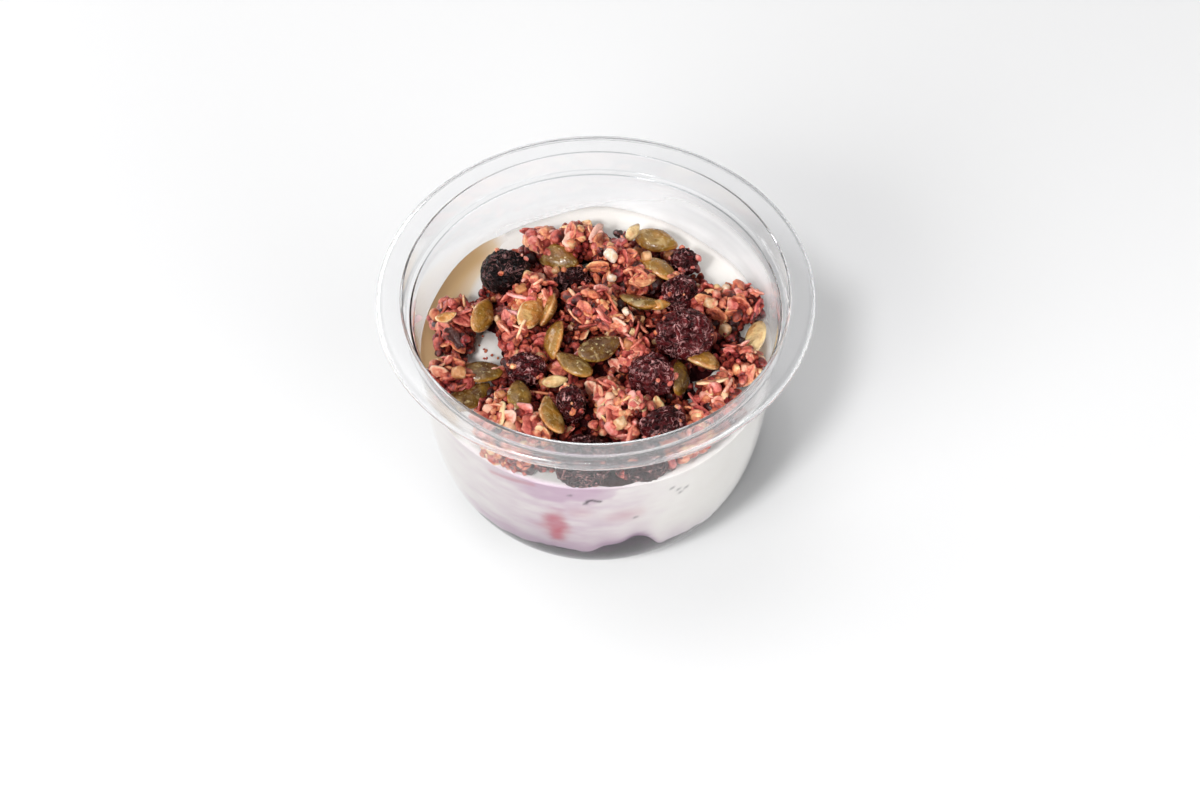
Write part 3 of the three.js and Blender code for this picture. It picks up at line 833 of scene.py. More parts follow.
def seed_olive():
    """Glossy seed skin with darker stains, pale patches of painted highlight and small pale flecks of
    painted glint.
    """
    material, graph, shader = new_material("seed_olive")
    colour = graph.ramp(graph.mottled(graph.noise(380, 5, 0.65), 0.6, -0.3), [
        (0.0, (0.105, 0.042, 0.007)),
        (0.25, (0.24, 0.130, 0.016)),
        (0.5, (0.36, 0.165, 0.022)),
        (0.75, (0.58, 0.235, 0.05)),
        (1.0, (0.86, 0.66, 0.34)),
    ])
    # Painted glints: small pale flecks
    over = graph.maths("SUBTRACT", graph.noise(1100, 2, 0.5), 0.62)
    painted_glint = graph.maths("MULTIPLY", graph.maths("SMOOTH_MIN", over, 0.12, 0.05), 6.0)
    stain = graph.ramp(graph.noise(170, 3, 0.6), [(0.42, (1.12, 1.1, 1.05)), (0.68, (0.6, 0.46, 0.42))])
    colour = graph.mix(1.0, colour, stain, "MULTIPLY")
    # Painted highlights: larger pale patches
    painted_highlight = graph.ramp(graph.noise(300, 2, 0.5, 0.6), [(0.56, 0.0), (0.68, 0.45)])
    colour = graph.mix(painted_highlight, colour, (0.70, 0.52, 0.22))
    colour = graph.mix(graph.maths("MAXIMUM", painted_glint, 0.0), colour, (0.78, 0.64, 0.30))
    relief = graph.bump(graph.noise(800, 4, 0.6), 0.8, 0.0008)
    graph.set(shader, Base_Color=colour, Roughness=0.2, Normal=relief)
    graph.set(shader, Coat_Weight=0.6, Coat_Roughness=0.15)
    return material


def berry_black():
    """Near black fruit skin with painted highlights along its crinkles, which fade where the berry is
    black.
    """
    material, graph, shader = new_material("berry_black")
    colour = graph.ramp(graph.mottled(graph.noise(420, 5, 0.7), 1.2, -0.5), [
        (0.0, (0.002, 0.0006, 0.0008)),
        (0.4, (0.020, 0.0015, 0.002)),
        (0.75, (0.085, 0.007, 0.009)),
        (1.0, (0.22, 0.034, 0.034)),
    ])
    # Painted highlights: pale pink lines along the crinkles
    off_line = graph.maths("ABSOLUTE", graph.maths("SUBTRACT", graph.noise(430, 1.5, 0.5, 1.3), 0.5))
    line = graph.ramp(off_line, [(0.0, 1.0), (0.022, 0.75), (0.055, 0.0)])
    patches = graph.noise(330, 3, 0.6)
    strength = graph.ramp(patches, [(0.44, 0.1), (0.58, 1.0)])
    level = graph.ramp(graph.mark("tone"), [(0.0, 0.4), (0.35, 1.0)])
    glint_amount = graph.mix(1.0, line, graph.mix(1.0, strength, level, "MULTIPLY"), "MULTIPLY")
    glint_colour = graph.mix(patches, (0.20, 0.01, 0.015), (1.0, 0.56, 0.54))
    ridges = graph.bump(line, 0.8, 0.0006)
    relief = graph.bump(graph.noise(1500, 2, 0.5), 0.7, 0.0006, Normal=ridges)
    graph.set(shader, Base_Color=graph.mix(glint_amount, colour, glint_colour), Normal=relief)
    graph.set(shader, Roughness=0.25, Specular_IOR_Level=0.12)
    return material


def floor_white():
    material, graph, shader = new_material("floor_white")
    graph.set(shader, Base_Color=(0.92, 0.92, 0.92), Roughness=0.9, Specular_IOR_Level=0.1)
    return material


RED_STOPS = [
    (0.0, (0.026, 0.003, 0.003)),
    (0.22, (0.21, 0.020, 0.015)),
    (0.45, (0.54, 0.100, 0.064)),
    (0.7, (0.76, 0.240, 0.145)),
    (1.0, (0.92, 0.56, 0.36)),
]
FLAKE_STOPS = [
    (0.0, (0.045, 0.006, 0.005)),
    (0.25, (0.30, 0.035, 0.025)),
    (0.5, (0.61, 0.140, 0.088)),
    (0.75, (0.80, 0.31, 0.19)),
    (1.0, (0.93, 0.62, 0.44)),
]
BIT_STOPS = [
    (0.0, (0.34, 0.09, 0.035)),
    (0.35, (0.58, 0.25, 0.09)),
    (0.65, (0.78, 0.50, 0.28)),
    (1.0, (0.88, 0.82, 0.76)),
]
# The core is near black, painted shade for the gaps between the clusters
CORE_SHADE_STOPS = [(0.0, (0.006, 0.0015, 0.0015)), (1.0, (0.05, 0.008, 0.007))]
# Dark colours of the grains under and between the clusters, painted shade
BASE_SHADE_STOPS = [(0.0, (0.014, 0.002, 0.002)), (0.3, (0.16, 0.016, 0.012)), (0.7, (0.50, 0.10, 0.06))]


# Pot piece, with marks for the painted shade at its bends, its dull lip and milky places
end_round = bezier([outer_face[-1], outer_face[-1] + LIP_END, inner_face[-1]], 4)[1:-1]
pot_points, pot_quads = turned(np.vstack([outer_face, end_round, inner_face[::-1]]), POT_SEGMENTS)
plain = np.zeros(len(face_bend_shade))
from_end = len(face_bend_shade) - np.arange(len(face_bend_shade))
near_lip = from_end <= LIP_POINTS
haze = np.where(from_end <= FLANGE_POINTS, FLANGE_HAZE, np.where(from_end < COLLAR_POINTS, COLLAR_HAZE, 0))


def along_pot(outer, end, inner):
    """A number for each point of the pot, from those along its outer face, lip's end and inner face."""
    line = np.concatenate([outer, np.full(len(end_round), end), inner[::-1]])[1:-1]
    return np.concatenate([np.repeat(line, POT_SEGMENTS), [0, 0]])


def wall_film(points):
    """How much of a thin smear of yogurt lies on the wall over the layer, in streaks around the pot."""
    x, y, z = points.T
    angle = np.degrees(np.arctan2(y, x))
    streaks = layered_noise(np.stack([angle / FILM_STREAK[0], 0 * z, z / FILM_STREAK[1]], axis=1), 51)
    end = smooth(z, BOWL_TOP[1] - FILM_BLUR, BOWL_TOP[1] + FILM_BLUR)
    upright = smooth(z, YOGURT_LEVEL, YOGURT_LEVEL + FILM_BLUR) * (1 - end)
    low = np.exp(-np.clip(z + 1.5 * streaks - EDGE_FILM_Z, 0, None) / EDGE_FILM_FADE) * (z < LEDGE_Z)
    return bumps(WALL_FILM, angle) * upright * (1 + 0.2 * streaks) + bumps(EDGE_FILM, angle) * low


pot_marks = {
    # Painted shade along the bends of the inner face
    "bend": along_pot(plain, 0, face_bend_shade),
    "lip": along_pot(near_lip, 1, near_lip),
    "milky": along_pot(plain, FLANGE_HAZE, haze) + along_pot(plain, 0, plain + 1) * wall_film(pot_points),
}
belongs(new_piece("pot_clear", pot_points, pot_quads, clear_plastic(), pot_marks), "pot")


# Yogurt and compote
def floor_surface(x, y):
    return np.full_like(x, FOOT_RECESS + WALL - INTO_WALL)


def near_line(angle, z, stops, width):
    """How close points on the wall lie to a line through places given as angle and height."""
    best = np.full(len(angle), np.inf)
    for (a0, z0), (a1, z1) in zip(stops, stops[1:]):
        across = np.radians(angle - a0) * BOWL_TOP[0]
        along, rise = math.radians(a1 - a0) * BOWL_TOP[0], z1 - z0
        share = np.clip((across * along + (z - z0) * rise) / (along**2 + rise**2), 0, 1)
        best = np.minimum(best, np.hypot(across - share * along, z - z0 - share * rise))
    return np.exp(-((best / width) ** 2))


def spots(angle, z, places, length, width):
    """How close points on the wall lie to short strokes that begin at places."""
    return sum(near_line(angle, z, [(a, h), (a + length[0], h + length[1])], width) for a, h in places)


def yogurt_marks(points, lower_edge):
    """How much lilac, purple, fruit and dark speck each point of the yogurt shows; the purple holds stains
    and painted shade under the fruit blob.
    """
    x, y, z = points.T
    at_wall = smooth(np.hypot(x, y) - wall_radius(z), -2.0, -0.2)
    angle = np.degrees(np.arctan2(y, x))
    drift = layered_noise(points / 11, 3)
    wisps = layered_noise(points / (6, 6, 2.2), 5)
    ragged = layered_noise(points / 3.5, 11)
    swirled = angle + 5 * layered_noise(points / 8, 7)
    above = z - np.resize(lower_edge, len(points))
    near = np.exp(-np.clip(above + 1.0 * wisps, 0, None) / 3.0)
    soft = np.exp(-np.clip(above + 1.5 * wisps, 0, None) / 6.0)
    over_band = z + wisps - np.interp(angle, *np.transpose(BAND_EDGE))
    upper = bumps(LILAC_BAND, angle) * smooth(over_band, -LILAC_BAND_BLUR, LILAC_BAND_BLUR)
    lower = bumps(LILAC_LOW, swirled) * (1 - smooth(z + 2.5 * drift, *LILAC_LOW_FADE))
    swirls = bumps(LILAC_HAZE, swirled) * (1 + 0.45 * wisps)
    lilac = np.clip(swirls + upper + np.maximum(lower, bumps(LILAC_FRINGE, angle) * near), 0, 1)
    across = bumps([(1.0, FRUIT_BLOB[0], FRUIT_BLOB_SIZE[0])], angle + 0.9 * ragged)
    blob = across * np.exp(-(((z + 1.2 * ragged - FRUIT_BLOB[1]) / FRUIT_BLOB_SIZE[1]) ** 2))
    core = smooth(blob + 0.15 * wisps, 0.1, 0.9) * (0.92 + 0.25 * ragged)
    stain = bumps(PURPLE_EDGE, angle) * near**2 + bumps(PURPLE_LEFT, angle) * soft
    # Painted shade: purple under the fruit blob, added to the stains
    stain = np.clip(stain + 0.45 * core * (1 - smooth(z + ragged, *FRUIT_BLOB_SHADE_FOOT)), 0, 1)
    blots = spots(angle + 1.5 * drift, z, PINK_BLOTS, (2, 0.4), 2.6)
    line = near_line(angle, z + 0.5 * wisps, PINK_LINE, 0.8)
    fruit = np.clip(core + 0.2 * blots + 0.45 * line, 0, 1)
    streak = near_line(angle, z + 0.3 * ragged, DARK_STREAK, 0.5)
    speck = np.clip(streak + 0.6 * spots(angle, z, DARK_SPECKS, (0.5, 0.2), 0.5), 0, 1)
    marks = {"lilac": lilac, "stain": stain, "fruit": fruit, "speck": speck}
    return {name: amount * at_wall for name, amount in marks.items()}


compote = filled_layer(floor_surface, compote_top, *COMPOTE_STEPS)
belongs(new_piece("compote_fill", *compote, compote_dark()), "compote")
yogurt_points, yogurt_faces = filled_layer(compote_top, yogurt_top, *YOGURT_STEPS)
edge_row = YOGURT_STEPS[1] - 1
edge_heights = yogurt_points[edge_row * LAYER_SEGMENTS:(edge_row + 1) * LAYER_SEGMENTS, 2]
cream_marks = yogurt_marks(yogurt_points, edge_heights)
cream = new_piece("yogurt_fill", yogurt_points, yogurt_faces, yogurt_cream(), cream_marks)
belongs(cream, "yogurt")


# Honey pool along the left wall, thin at its edges
def honey_pool():
    columns, rows = HONEY_GRID
    angles = np.radians(np.linspace(*HONEY_SPAN, columns))
    share = np.linspace(0, 1, columns)
    body = np.sin(np.pi * share)
    width = HONEY_WIDTH * np.sqrt(body * 0.96 + 0.04) + 0.6 * np.sin(share * 23)
    points, depth = [], []
    for row in np.linspace(0, 1, rows):
        reach = wall_radius(YOGURT_LEVEL) + INTO_WALL - row * width
        thick = (1 - smooth(np.full(columns, row), 0.25, 1.0)) * smooth(body, 0.0, 0.45)
        meniscus = HONEY_MENISCUS * np.exp(-row * width / HONEY_MENISCUS_FADE) * smooth(body, 0.0, 0.3)
        x, y = reach * np.cos(angles), reach * np.sin(angles)
        z = yogurt_top(x, y) + HONEY_LIFT + HONEY_DEPTH * thick + meniscus
        points.append(np.stack([x, y, z], axis=1))
        depth.append(thick)
    i, j = np.meshgrid(np.arange(rows - 1), np.arange(columns - 1), indexing="ij")
    a = i * columns + j
    faces = np.stack([a, a + columns, a + columns + 1, a + 1], axis=-1).reshape(-1, 4)
    return np.vstack(points), [faces], honey_amber(), {"depth": np.concatenate(depth)}


belongs(new_piece("honey_pool", *honey_pool()), "honey")


# Granola: shapes of single things
def grain_shape(number, grid):
    """A puffed grain of radius 1: lumpy and slightly stretched, with painted shade that makes it paler on
    its bumps and darker in its dents.
    """
    points, triangles = sphere(*grid)
    lumps = layered_noise(points * 1.5 + 9.7 * number, 40 + number, 2)
    points = points * (1 + 0.2 * lumps)[:, None]
    stretch = np.array([1 + 0.5 * ((number * 37) % 7) / 7, 1.0, 0.85])
    # Painted shade: the tone follows the lumps
    return points * stretch, triangles, 0.3 * lumps


def chunk_shape(number):
    """A broken chunk of half size 1 with flat sides, with painted shade that makes it a little paler on its
    bumps and darker in its dents.
    """
    points, triangles = sphere(*CHUNK_GRID)
    points = points @ facing(np.array([0.3 + number, 0.5, 1.0]), number).T
    points = points / (np.abs(points) ** 5).sum(axis=1)[:, None] ** 0.2
    lumps = layered_noise(points * 1.1 + 5.3 * number, 70 + number, 2)
    # Painted shade: the tone follows the lumps
    return points * (1 + 0.12 * lumps)[:, None] * (1, 0.8, 0.7), triangles, 0.08 * lumps


def plate(sides, rings, row):
    """A closed plate from rings of points on both sides, with each point's share of the way out."""
    shares = np.linspace(1, 0, rings + 1)[:-1]
    upper = [row(share, 1) for share in shares]
    lower = [row(share, -1) for share in shares]
    points = np.vstack([*upper, *lower, upper[-1].mean(axis=0), lower[-1].mean(axis=0)])
    below = rings * sides
    end = below - sides
    j = np.arange(sides)
    k = (j + 1) % sides
    top = ring_quads(rings, sides)
    quads = np.vstack([top, top[:, ::-1] + below, np.stack([j, below + j, below + k, k], axis=1)])
    caps = [fan(2 * below, end, sides), flipped(fan(2 * below + 1, below + end, sides))]
    out = np.concatenate([np.repeat(shares, sides), np.repeat(shares, sides), [0, 0]])
    return points, np.vstack([quads[:, [0, 1, 2]], quads[:, [0, 2, 3]], *caps]), out


def flake_shape(number):
    """An oat flake of length 1: bent, creased along its middle, ragged at its edge, thin and pale there,
    with painted shade along the crease.
    """
    sides, rings = FLAKE_GRID
    c, s = np.cos(circle(sides)), np.sin(circle(sides))
    ragged = 1 + 0.14 * layered_noise(np.stack([2 * c, 2 * s, c * 0 + number], 1), 5, 2)

    def row(share, side):
        x = 0.5 * share * ragged * c
        y = FLAKE_HALF_WIDTH * share * ragged * s * (1 - 0.15 * c)
        thickness = FLAKE_DOME * (1 - share**4) + FLAKE_EDGE
        crease = 0.035 * np.exp(-((y / 0.035) ** 2)) * (1 - share**2)
        waves = 0.02 * lattice_noise(np.stack([x * 5, y * 5, x * 0 + number], 1), 8)
        bend = (0.1 + 0.14 * (number % 4)) * y**2 + (0.2 - 0.1 * (number % 5)) * x**2
        return np.stack([x, y, side * (thickness - crease) + waves + bend], axis=1)

    points, triangles, out = plate(sides, rings, row)
    streaks = lattice_noise(points * (4, 22, 1) + number, 9)
    crease = np.exp(-((points[:, 1] / 0.05) ** 2))
    # Streaks and a pale edge, with painted shade along the crease
    return points, triangles, 0.16 * streaks + 0.2 * smooth(out, 0.75, 1.0) - 0.16 * crease


def seed_shape(number):
    """A pumpkin seed of length 1: a pointed oval with a thin, pale margin."""
    sides, rings = SEED_GRID
    c, s = np.cos(circle(sides)), np.sin(circle(sides))
    point = 1 - 0.34 * smooth(c, 0.0, 1.0)

    def row(share, side):
        x = 0.5 * share * c
        y = SEED_HALF_WIDTH * share * s * point
        dome = SEED_DOME * np.sqrt(np.clip(1 - (share / 0.95) ** 2.4, 0, 1))
        dents = 0.02 * layered_noise(np.stack([x * 5, y * 9, x * 0 + number], 1), 21, 2) * (1 - share**2)
        sag = 0.3 * (number % 3 - 1) * x**2
        return np.stack([x, y, side * (dome + SEED_MARGIN + dents) + sag], axis=1)

    points, triangles, out = plate(sides, rings, row)
    mottle = layered_noise(points * 7 + number, 33, 2)
    return points, triangles, 0.4 * smooth(out, 0.86, 0.96) + 0.12 * mottle


class Scatter:
    """Copies of small shapes, gathered into one mesh."""

    def __init__(self):
        self.points, self.faces, self.tones, self.hues = [], [], [], []
        self.count = 0

    def add(self, shapes, turn, size, at, tone, out=(0, 0, 0), hue=0.5):
        """Adds a copy, with painted light and shade: paler on the side that faces out, darker on the other.
        """
        points, triangles, relief = shapes
        placed = (points * size) @ turn.T
        reach = np.linalg.norm(placed, axis=1).max()
        self.points.append(placed + at)
        self.faces.append(triangles + self.count)
        # Painted light and shade: the tone rises on the side that faces out
        self.tones.append(tone + relief + placed @ np.asarray(out) / reach)
        self.hues.append(np.full(len(points), hue))
        self.count += len(points)

    def piece(self, name, material):
        marks = {"tone": np.clip(np.concatenate(self.tones), -0.2, 1.2), "hue": np.concatenate(self.hues)}
        return new_piece(name, np.vstack(self.points), [np.vstack(self.faces)], material, marks)


GRAINS = [grain_shape(i, GRAIN_GRID) for i in range(12)]
SMALL_GRAINS = [grain_shape(i, SMALL_GRAIN_GRID) for i in range(8)]
CHUNKS = [chunk_shape(i) for i in range(6)]
FLAKES = [flake_shape(i) for i in range(12)]
SEED_SHAPES = [seed_shape(i) for i in range(6)]
grains, base_grains, flakes, seeds, bits = (Scatter() for _ in range(5))


# Granola: where things lie
def any_turn():
    return facing(rng.normal(size=3), rng.uniform(0, FULL_TURN))


def pick(shapes):
    return shapes[rng.integers(len(shapes))]


def drawn(kind):
    """A size and a tone for a loose piece."""
    sizes, tones = kind
    return rng.uniform(*sizes), rng.normal(*tones)


def inside_pot(at, spare):
    return math.hypot(at[0], at[1]) + spare < wall_radius(at[2])


def in_berry(at, spare):
    for bx, by, bz, hx, hy, hz, turn, _ in BERRIES:
        local = turn_z(-turn) @ (np.array(at) - (bx, by, bz))
        if np.sum((local / (np.array([hx, hy, hz]) + spare)) ** 2) < 1:
            return True
    return False


def in_place(places, x, y, spare=0.0):
    return any(math.hypot(x - px, y - py) < radius + spare for px, py, radius in places)


def kept_bare(x, y, spare):
    """Whether a place lies near a gap or in a hollow, where nothing loose goes."""
    return in_place(YOGURT_GAPS, x, y, spare) or in_place(HOLLOWS, x, y)


def painted_depth_shade(at):
    """How much painted shade a place gets, from 0 to 1, by how far below the heap's crests it lies."""
    return float(np.clip((CREST_Z - at[2]) / CREST_DEPTH, 0, 1))


def heap_edge(around):
    return float(core_edge(math.degrees(around) % 360))


def cluster_z(x, y, half):
    return core_top(x, y) + CLUSTER_LIFT * half


def heap_top(x, y):
    top = core_top(x, y)
    for cx, cy, half, _, _ in CLUSTERS:
        reach = half * CLUSTER_LUMP
        apart = ((x - cx) ** 2 + (y - cy) ** 2) / reach**2
        if apart < 1:
            lump = cluster_z(cx, cy, half) + reach * CLUSTER_FLATNESS * math.sqrt(1 - apart)
            top = max(top, lump)
    return top


def spiral(count, edge, share=1.0, start=0.0):
    """Places spread evenly out to a share of an edge, which is a distance for each angle."""
    for i in range(count):
        around = i * GOLDEN_ANGLE + start
        reach = math.sqrt((i + 0.5) / count) * edge(around) * share
        yield reach * math.cos(around), reach * math.sin(around)


def by_wall(angle, z, spare, gap):
    """A place next to the wall, with room to spare and a gap drawn from a range."""
    reach = float(wall_radius(z)) - rng.uniform(*gap) - spare
    return np.array([reach * math.cos(angle), reach * math.sin(angle), z])


def add_grain(at, out, radius, tone):
    in_gap = radius >= CRUMB_LIMIT and in_place(YOGURT_GAPS, at[0], at[1])
    if inside_pot(at, radius) and not in_berry(at, 0.2) and not in_gap:
        size = radius * rng.uniform(*STRETCH, 3)
        # Painted shade: darker the deeper the grain lies in the heap
        grains.add(pick(GRAINS), any_turn(), size, at, tone - 0.42 * painted_depth_shade(at), 0.3 * out, rng.uniform())


def add_base_grain(at, out, kind, in_gap=False):
    sizes, tones = kind
    size, tone = rng.uniform(*sizes) * rng.uniform(*STRETCH, 3), rng.uniform(*tones)
    if inside_pot(at, 1.8) and not in_berry(at, 0.2) and not in_gap:
        base_grains.add(pick(SMALL_GRAINS), any_turn(), size, at, tone, out, rng.uniform())


def add_flake(at, normal, out, length, tone):
    in_gap = in_place(YOGURT_GAPS, at[0], at[1], 0.5)
    if inside_pot(at, 0.35 * length) and not in_berry(at, 0.5) and not in_gap:
        size = length * np.array([1, rng.uniform(0.75, 1.1), rng.uniform(0.8, 1.1)])
        turn = facing(normal, rng.uniform(0, FULL_TURN))
        # Painted shade: darker the deeper the flake lies in the heap
        flakes.add(pick(FLAKES), turn, size, at, tone - 0.36 * painted_depth_shade(at), 0.24 * out, rng.uniform())


def add_cluster(x, y, half, flake_count, mood):
    """Grains and flakes stuck over a lump."""
    middle = np.array([x, y, cluster_z(x, y, half)])
    reach = half * np.array([CLUSTER_LUMP, CLUSTER_LUMP, CLUSTER_LUMP * CLUSTER_FLATNESS])
    phase = rng.uniform(0, FULL_TURN)
    under = int(BASE_GRAINS_PER_AREA * half**2)
    for i in range(under):
        out = direction(phase + 2 + i * GOLDEN_ANGLE, 1 - 1.5 * (i + 0.5) / under)
        at = middle + out * reach * rng.uniform(0.86, 0.98)
        add_base_grain(at, 0.2 * out, UNDER_GRAIN)
    count = int(GRAINS_PER_AREA * half**2)
    for i in range(count):
        out = direction(phase + i * GOLDEN_ANGLE, 1 - 1.35 * (i + 0.5) / count)
        at = middle + (out + rng.normal(size=3) * 0.08) * reach * rng.uniform(0.92, 1.2)
        add_grain(at, out, rng.uniform(*CLUSTER_GRAIN), rng.normal(0.47 + mood, 0.2))
    flake_count += EXTRA_FLAKES
    for i in range(flake_count):
        around = phase + i * FULL_TURN / flake_count + rng.uniform(-0.4, 0.4)
        out = direction(around, rng.uniform(0.1, 0.98))
        at = middle + out * reach * rng.uniform(1.02, 1.22)
        normal = out + rng.normal(size=3) * 0.6
        add_flake(at, normal, out, rng.uniform(*CLUSTER_FLAKE), rng.normal(0.5 + mood, 0.21))


def add_heap():
    """Clusters, and the flakes and grains that lie loose on and between them."""
    for cluster in CLUSTERS:
        add_cluster(*cluster)
    for x, y in spiral(LOOSE_FLAKES, heap_edge, 0.98):
        x, y = x + rng.normal() * 1.5, y + rng.normal() * 1.5
        at = (x, y, heap_top(x, y) + rng.uniform(0.2, 1.5))
        normal = np.array([rng.normal() * 0.8, rng.normal() * 0.8, 1])
        length, tone = drawn(LOOSE_FLAKE)
        if not kept_bare(x, y, 2.0):
            add_flake(at, normal, UP, length, tone)
    for _ in range(LOOSE_GRAINS):
        around = rng.uniform(0, FULL_TURN)
        reach = math.sqrt(rng.uniform(0, 1)) * heap_edge(around)
        x, y = reach * math.cos(around), reach * math.sin(around)
        at = (x, y, heap_top(x, y) + rng.uniform(0.1, 1.2))
        radius, tone = drawn(LOOSE_GRAIN)
        if not kept_bare(x, y, 0.8):
            add_grain(at, UP, radius, tone)
    for x, y in spiral(BASE_GRAINS, heap_edge, 0.97, 1):
        at = np.array([x, y, core_top(x, y) - core_sink(x, y) + rng.uniform(-0.6, 0.3)])
        add_base_grain(at, 0.15 * UP, BASE_GRAIN, in_place(YOGURT_GAPS, x, y, 0.6))


def add_wall_pieces():
    """Pieces of the heap that show through the front wall and under the collar."""
    for i in range(WALL_GRAINS + WALL_FLAKES):
        angle = math.radians(rng.uniform(*WALL_SPAN))
        rag = float(lattice_noise(np.array([[math.degrees(angle) / WALL_RAG_SIZE, 0.5, 0.5]]), 31)[0])
        lift = WALL_RAG * (1 + rag)
        z = WALL_Z + lift + (WALL_HEAP - lift) * rng.uniform(0, 1)
        radius, tone = drawn(WALL_GRAIN)
        at = by_wall(angle, z, 1.35 * radius, WALL_GAP)
        outward = np.array([math.cos(angle), math.sin(angle), -0.4])
        if i < WALL_GRAINS:
            add_grain(at, outward, radius, tone)
        else:
            add_flake(at, rng.normal(size=3) * 0.5 - outward, outward, rng.uniform(*WALL_FLAKE), tone)
    for _ in range(COLLAR_GRAINS):
        angle = math.radians(rng.uniform(*WALL_SPAN))
        z = rng.uniform(*COLLAR_Z)
        radius, tone = drawn(COLLAR_GRAIN)
        at = by_wall(angle, z, 1.35 * radius, COLLAR_GAP)
        if heap_top(at[0], at[1]) > z - COLLAR_OVER_HEAP:
            add_grain(at, UP, radius, tone)


def add_crumbs():
    """Crumbs on the yogurt in the heap's gaps, and crumbs that stick to the berries."""
    for i in range(CRUMBS):
        gx, gy, radius = YOGURT_GAPS[i % len(YOGURT_GAPS)]
        x, y = gx + rng.normal() * 0.5 * radius, gy + rng.normal() * 0.5 * radius
        add_grain((x, y, float(yogurt_top(x, y)) + 0.15), UP, *drawn(CRUMB))
    for x, y, z, hx, hy, hz, turn, _ in BERRIES:
        for _ in range(BERRY_CRUMBS):
            out = direction(rng.uniform(0, FULL_TURN), rng.uniform(0.1, 0.75))
            at = np.array([x, y, z]) + 0.97 * (turn_z(turn) @ (out * (hx, hy, hz)))
            radius, tone = drawn(BERRY_CRUMB)
            if inside_pot(at, 1.5):
                grains.add(pick(GRAINS), any_turn(), radius, at, tone, 0.2 * UP, rng.uniform())


def add_toppings():
    """Pumpkin seeds, pale kernels, crystals and small bits."""
    for i, (x, y, z, turn, lean, tone) in enumerate(SEEDS):
        size = SEED_LENGTH * rng.uniform(0.92, 1.06)
        spin = turn_z(turn + 180 * (i % 2)) @ turn_x(lean)
        seeds.add(SEED_SHAPES[i % len(SEED_SHAPES)], spin, size, (x, y, z), tone)
    for x, y, z, turn, lean, length, tone in KERNELS:
        seeds.add(pick(SEED_SHAPES), turn_z(turn) @ turn_x(lean), length * KERNEL_FORM, (x, y, z), tone)
    for x, y, z, size, tone in CRYSTALS:
        bits.add(pick(CHUNKS), any_turn(), size, (x, y, z), tone)
    for x, y in spiral(SMALL_BITS, lambda around: SMALL_BITS_RADIUS):
        x, y = x + rng.normal(), y + rng.normal()
        at = np.array([x, y, heap_top(x, y) + rng.uniform(0.6, 1.5)])
        size, tone = rng.uniform(*SMALL_BIT), rng.uniform(0.0, 0.5)
        if inside_pot(at, 2.0) and not in_berry(at, 0.6) and not in_place(YOGURT_GAPS, x, y, 1.0):
            bits.add(pick(CHUNKS), any_turn(), size, at, tone, 0.15 * UP)


def add_bunches():
    """Grains in bunches that lean on the wall."""
    for middle, height, spread, mood in BUNCHES:
        for _ in range(BUNCH_GRAINS):
            angle = math.radians(middle + rng.normal() * spread)
            z = height + rng.normal() * BUNCH_SPREAD
            radius, tone = rng.uniform(*BUNCH_GRAIN), rng.normal(mood, 0.2)
            at = by_wall(angle, z, 1.1 * radius, BUNCH_GAP)
            add_grain(at, np.array([math.cos(angle), math.sin(angle), 0.4]), radius, tone)


# Core of the heap and lumps of the clusters
def core_mesh():
    segments, rings = CORE_GRID
    angles = circle(segments)
    edge = core_edge(np.degrees(angles)) - CORE_INSET
    rows = []
    for share in np.linspace(1, 0, rings + 1)[:-1]:
        x, y = share * edge * np.cos(angles), share * edge * np.sin(angles)
        front = bumps(CORE_FRONT, np.degrees(angles)) * smooth(np.full(segments, share), 0.8, 1.0)
        drop = (CORE_RIM_DROP - CORE_FRONT_LIFT * front) * smooth(np.full(segments, share), 0.9, 1.0)
        ripple = CORE_RIPPLE * layered_noise(np.stack([x, y, x * 0], axis=1) / CORE_RIPPLE_SIZE, 60)
        drop = np.maximum(drop, core_sink(x, y))
        rows.append(np.stack([x, y, core_top(x, y) - CORE_UNDER - drop + ripple], axis=1))
    rows.insert(0, rows[0] * (1, 1, 0) + (0, 0, YOGURT_LEVEL - CORE_INTO_YOGURT))
    count = len(rows) * segments
    quads = ring_quads(len(rows), segments)
    faces = [quads[:, [0, 1, 2]], quads[:, [0, 2, 3]], fan(count, count - segments, segments)]
    parts = [*rows, rows[-1].mean(axis=0)]
    count += 1
    ball, triangles = sphere(*LUMP_GRID)
    for number, (x, y, half, _, _) in enumerate(CLUSTERS):
        lump = ball * (1 + 0.1 * layered_noise(ball * 2.2 + number * 5.1, 80))[:, None]
        reach = half * CLUSTER_LUMP * LUMP_SHRINK
        lump = lump * (reach, reach, reach * CLUSTER_FLATNESS)
        parts.append(lump + (x, y, cluster_z(x, y, half)))
        faces.append(triangles + count)
        count += len(ball)
    return kept_inside(np.vstack(parts)), [np.vstack(faces)]


add_heap()
add_wall_pieces()
add_crumbs()
add_toppings()
add_bunches()
core_points, core_faces = core_mesh()
# Painted shade: the near black core shows in the gaps
core_shade_red = granola_red("core_shade_red", CORE_SHADE_STOPS, 0.7, 500, 0.001, 0.05)
granola_pieces = [
    new_piece("granola_core", core_points, core_faces, core_shade_red, {"tone": np.full(len(core_points), 0.45)}),
    base_grains.piece("granola_base_grains", granola_red("base_shade_red", BASE_SHADE_STOPS, 0.5, 1000, 0.0007, 0.15)),
    grains.piece("granola_grains", granola_red("grain_red", RED_STOPS, 0.36, 1000, 0.0007)),
    flakes.piece("granola_flakes", granola_red("flake_red", FLAKE_STOPS, 0.42, 900, 0.0006)),
    seeds.piece("pumpkin_seeds", seed_olive()),
    bits.piece("granola_bits", granola_red("bit_pale", BIT_STOPS, 0.3, 800, 0.0006)),
]
for piece in granola_pieces:
    belongs(piece, "granola")


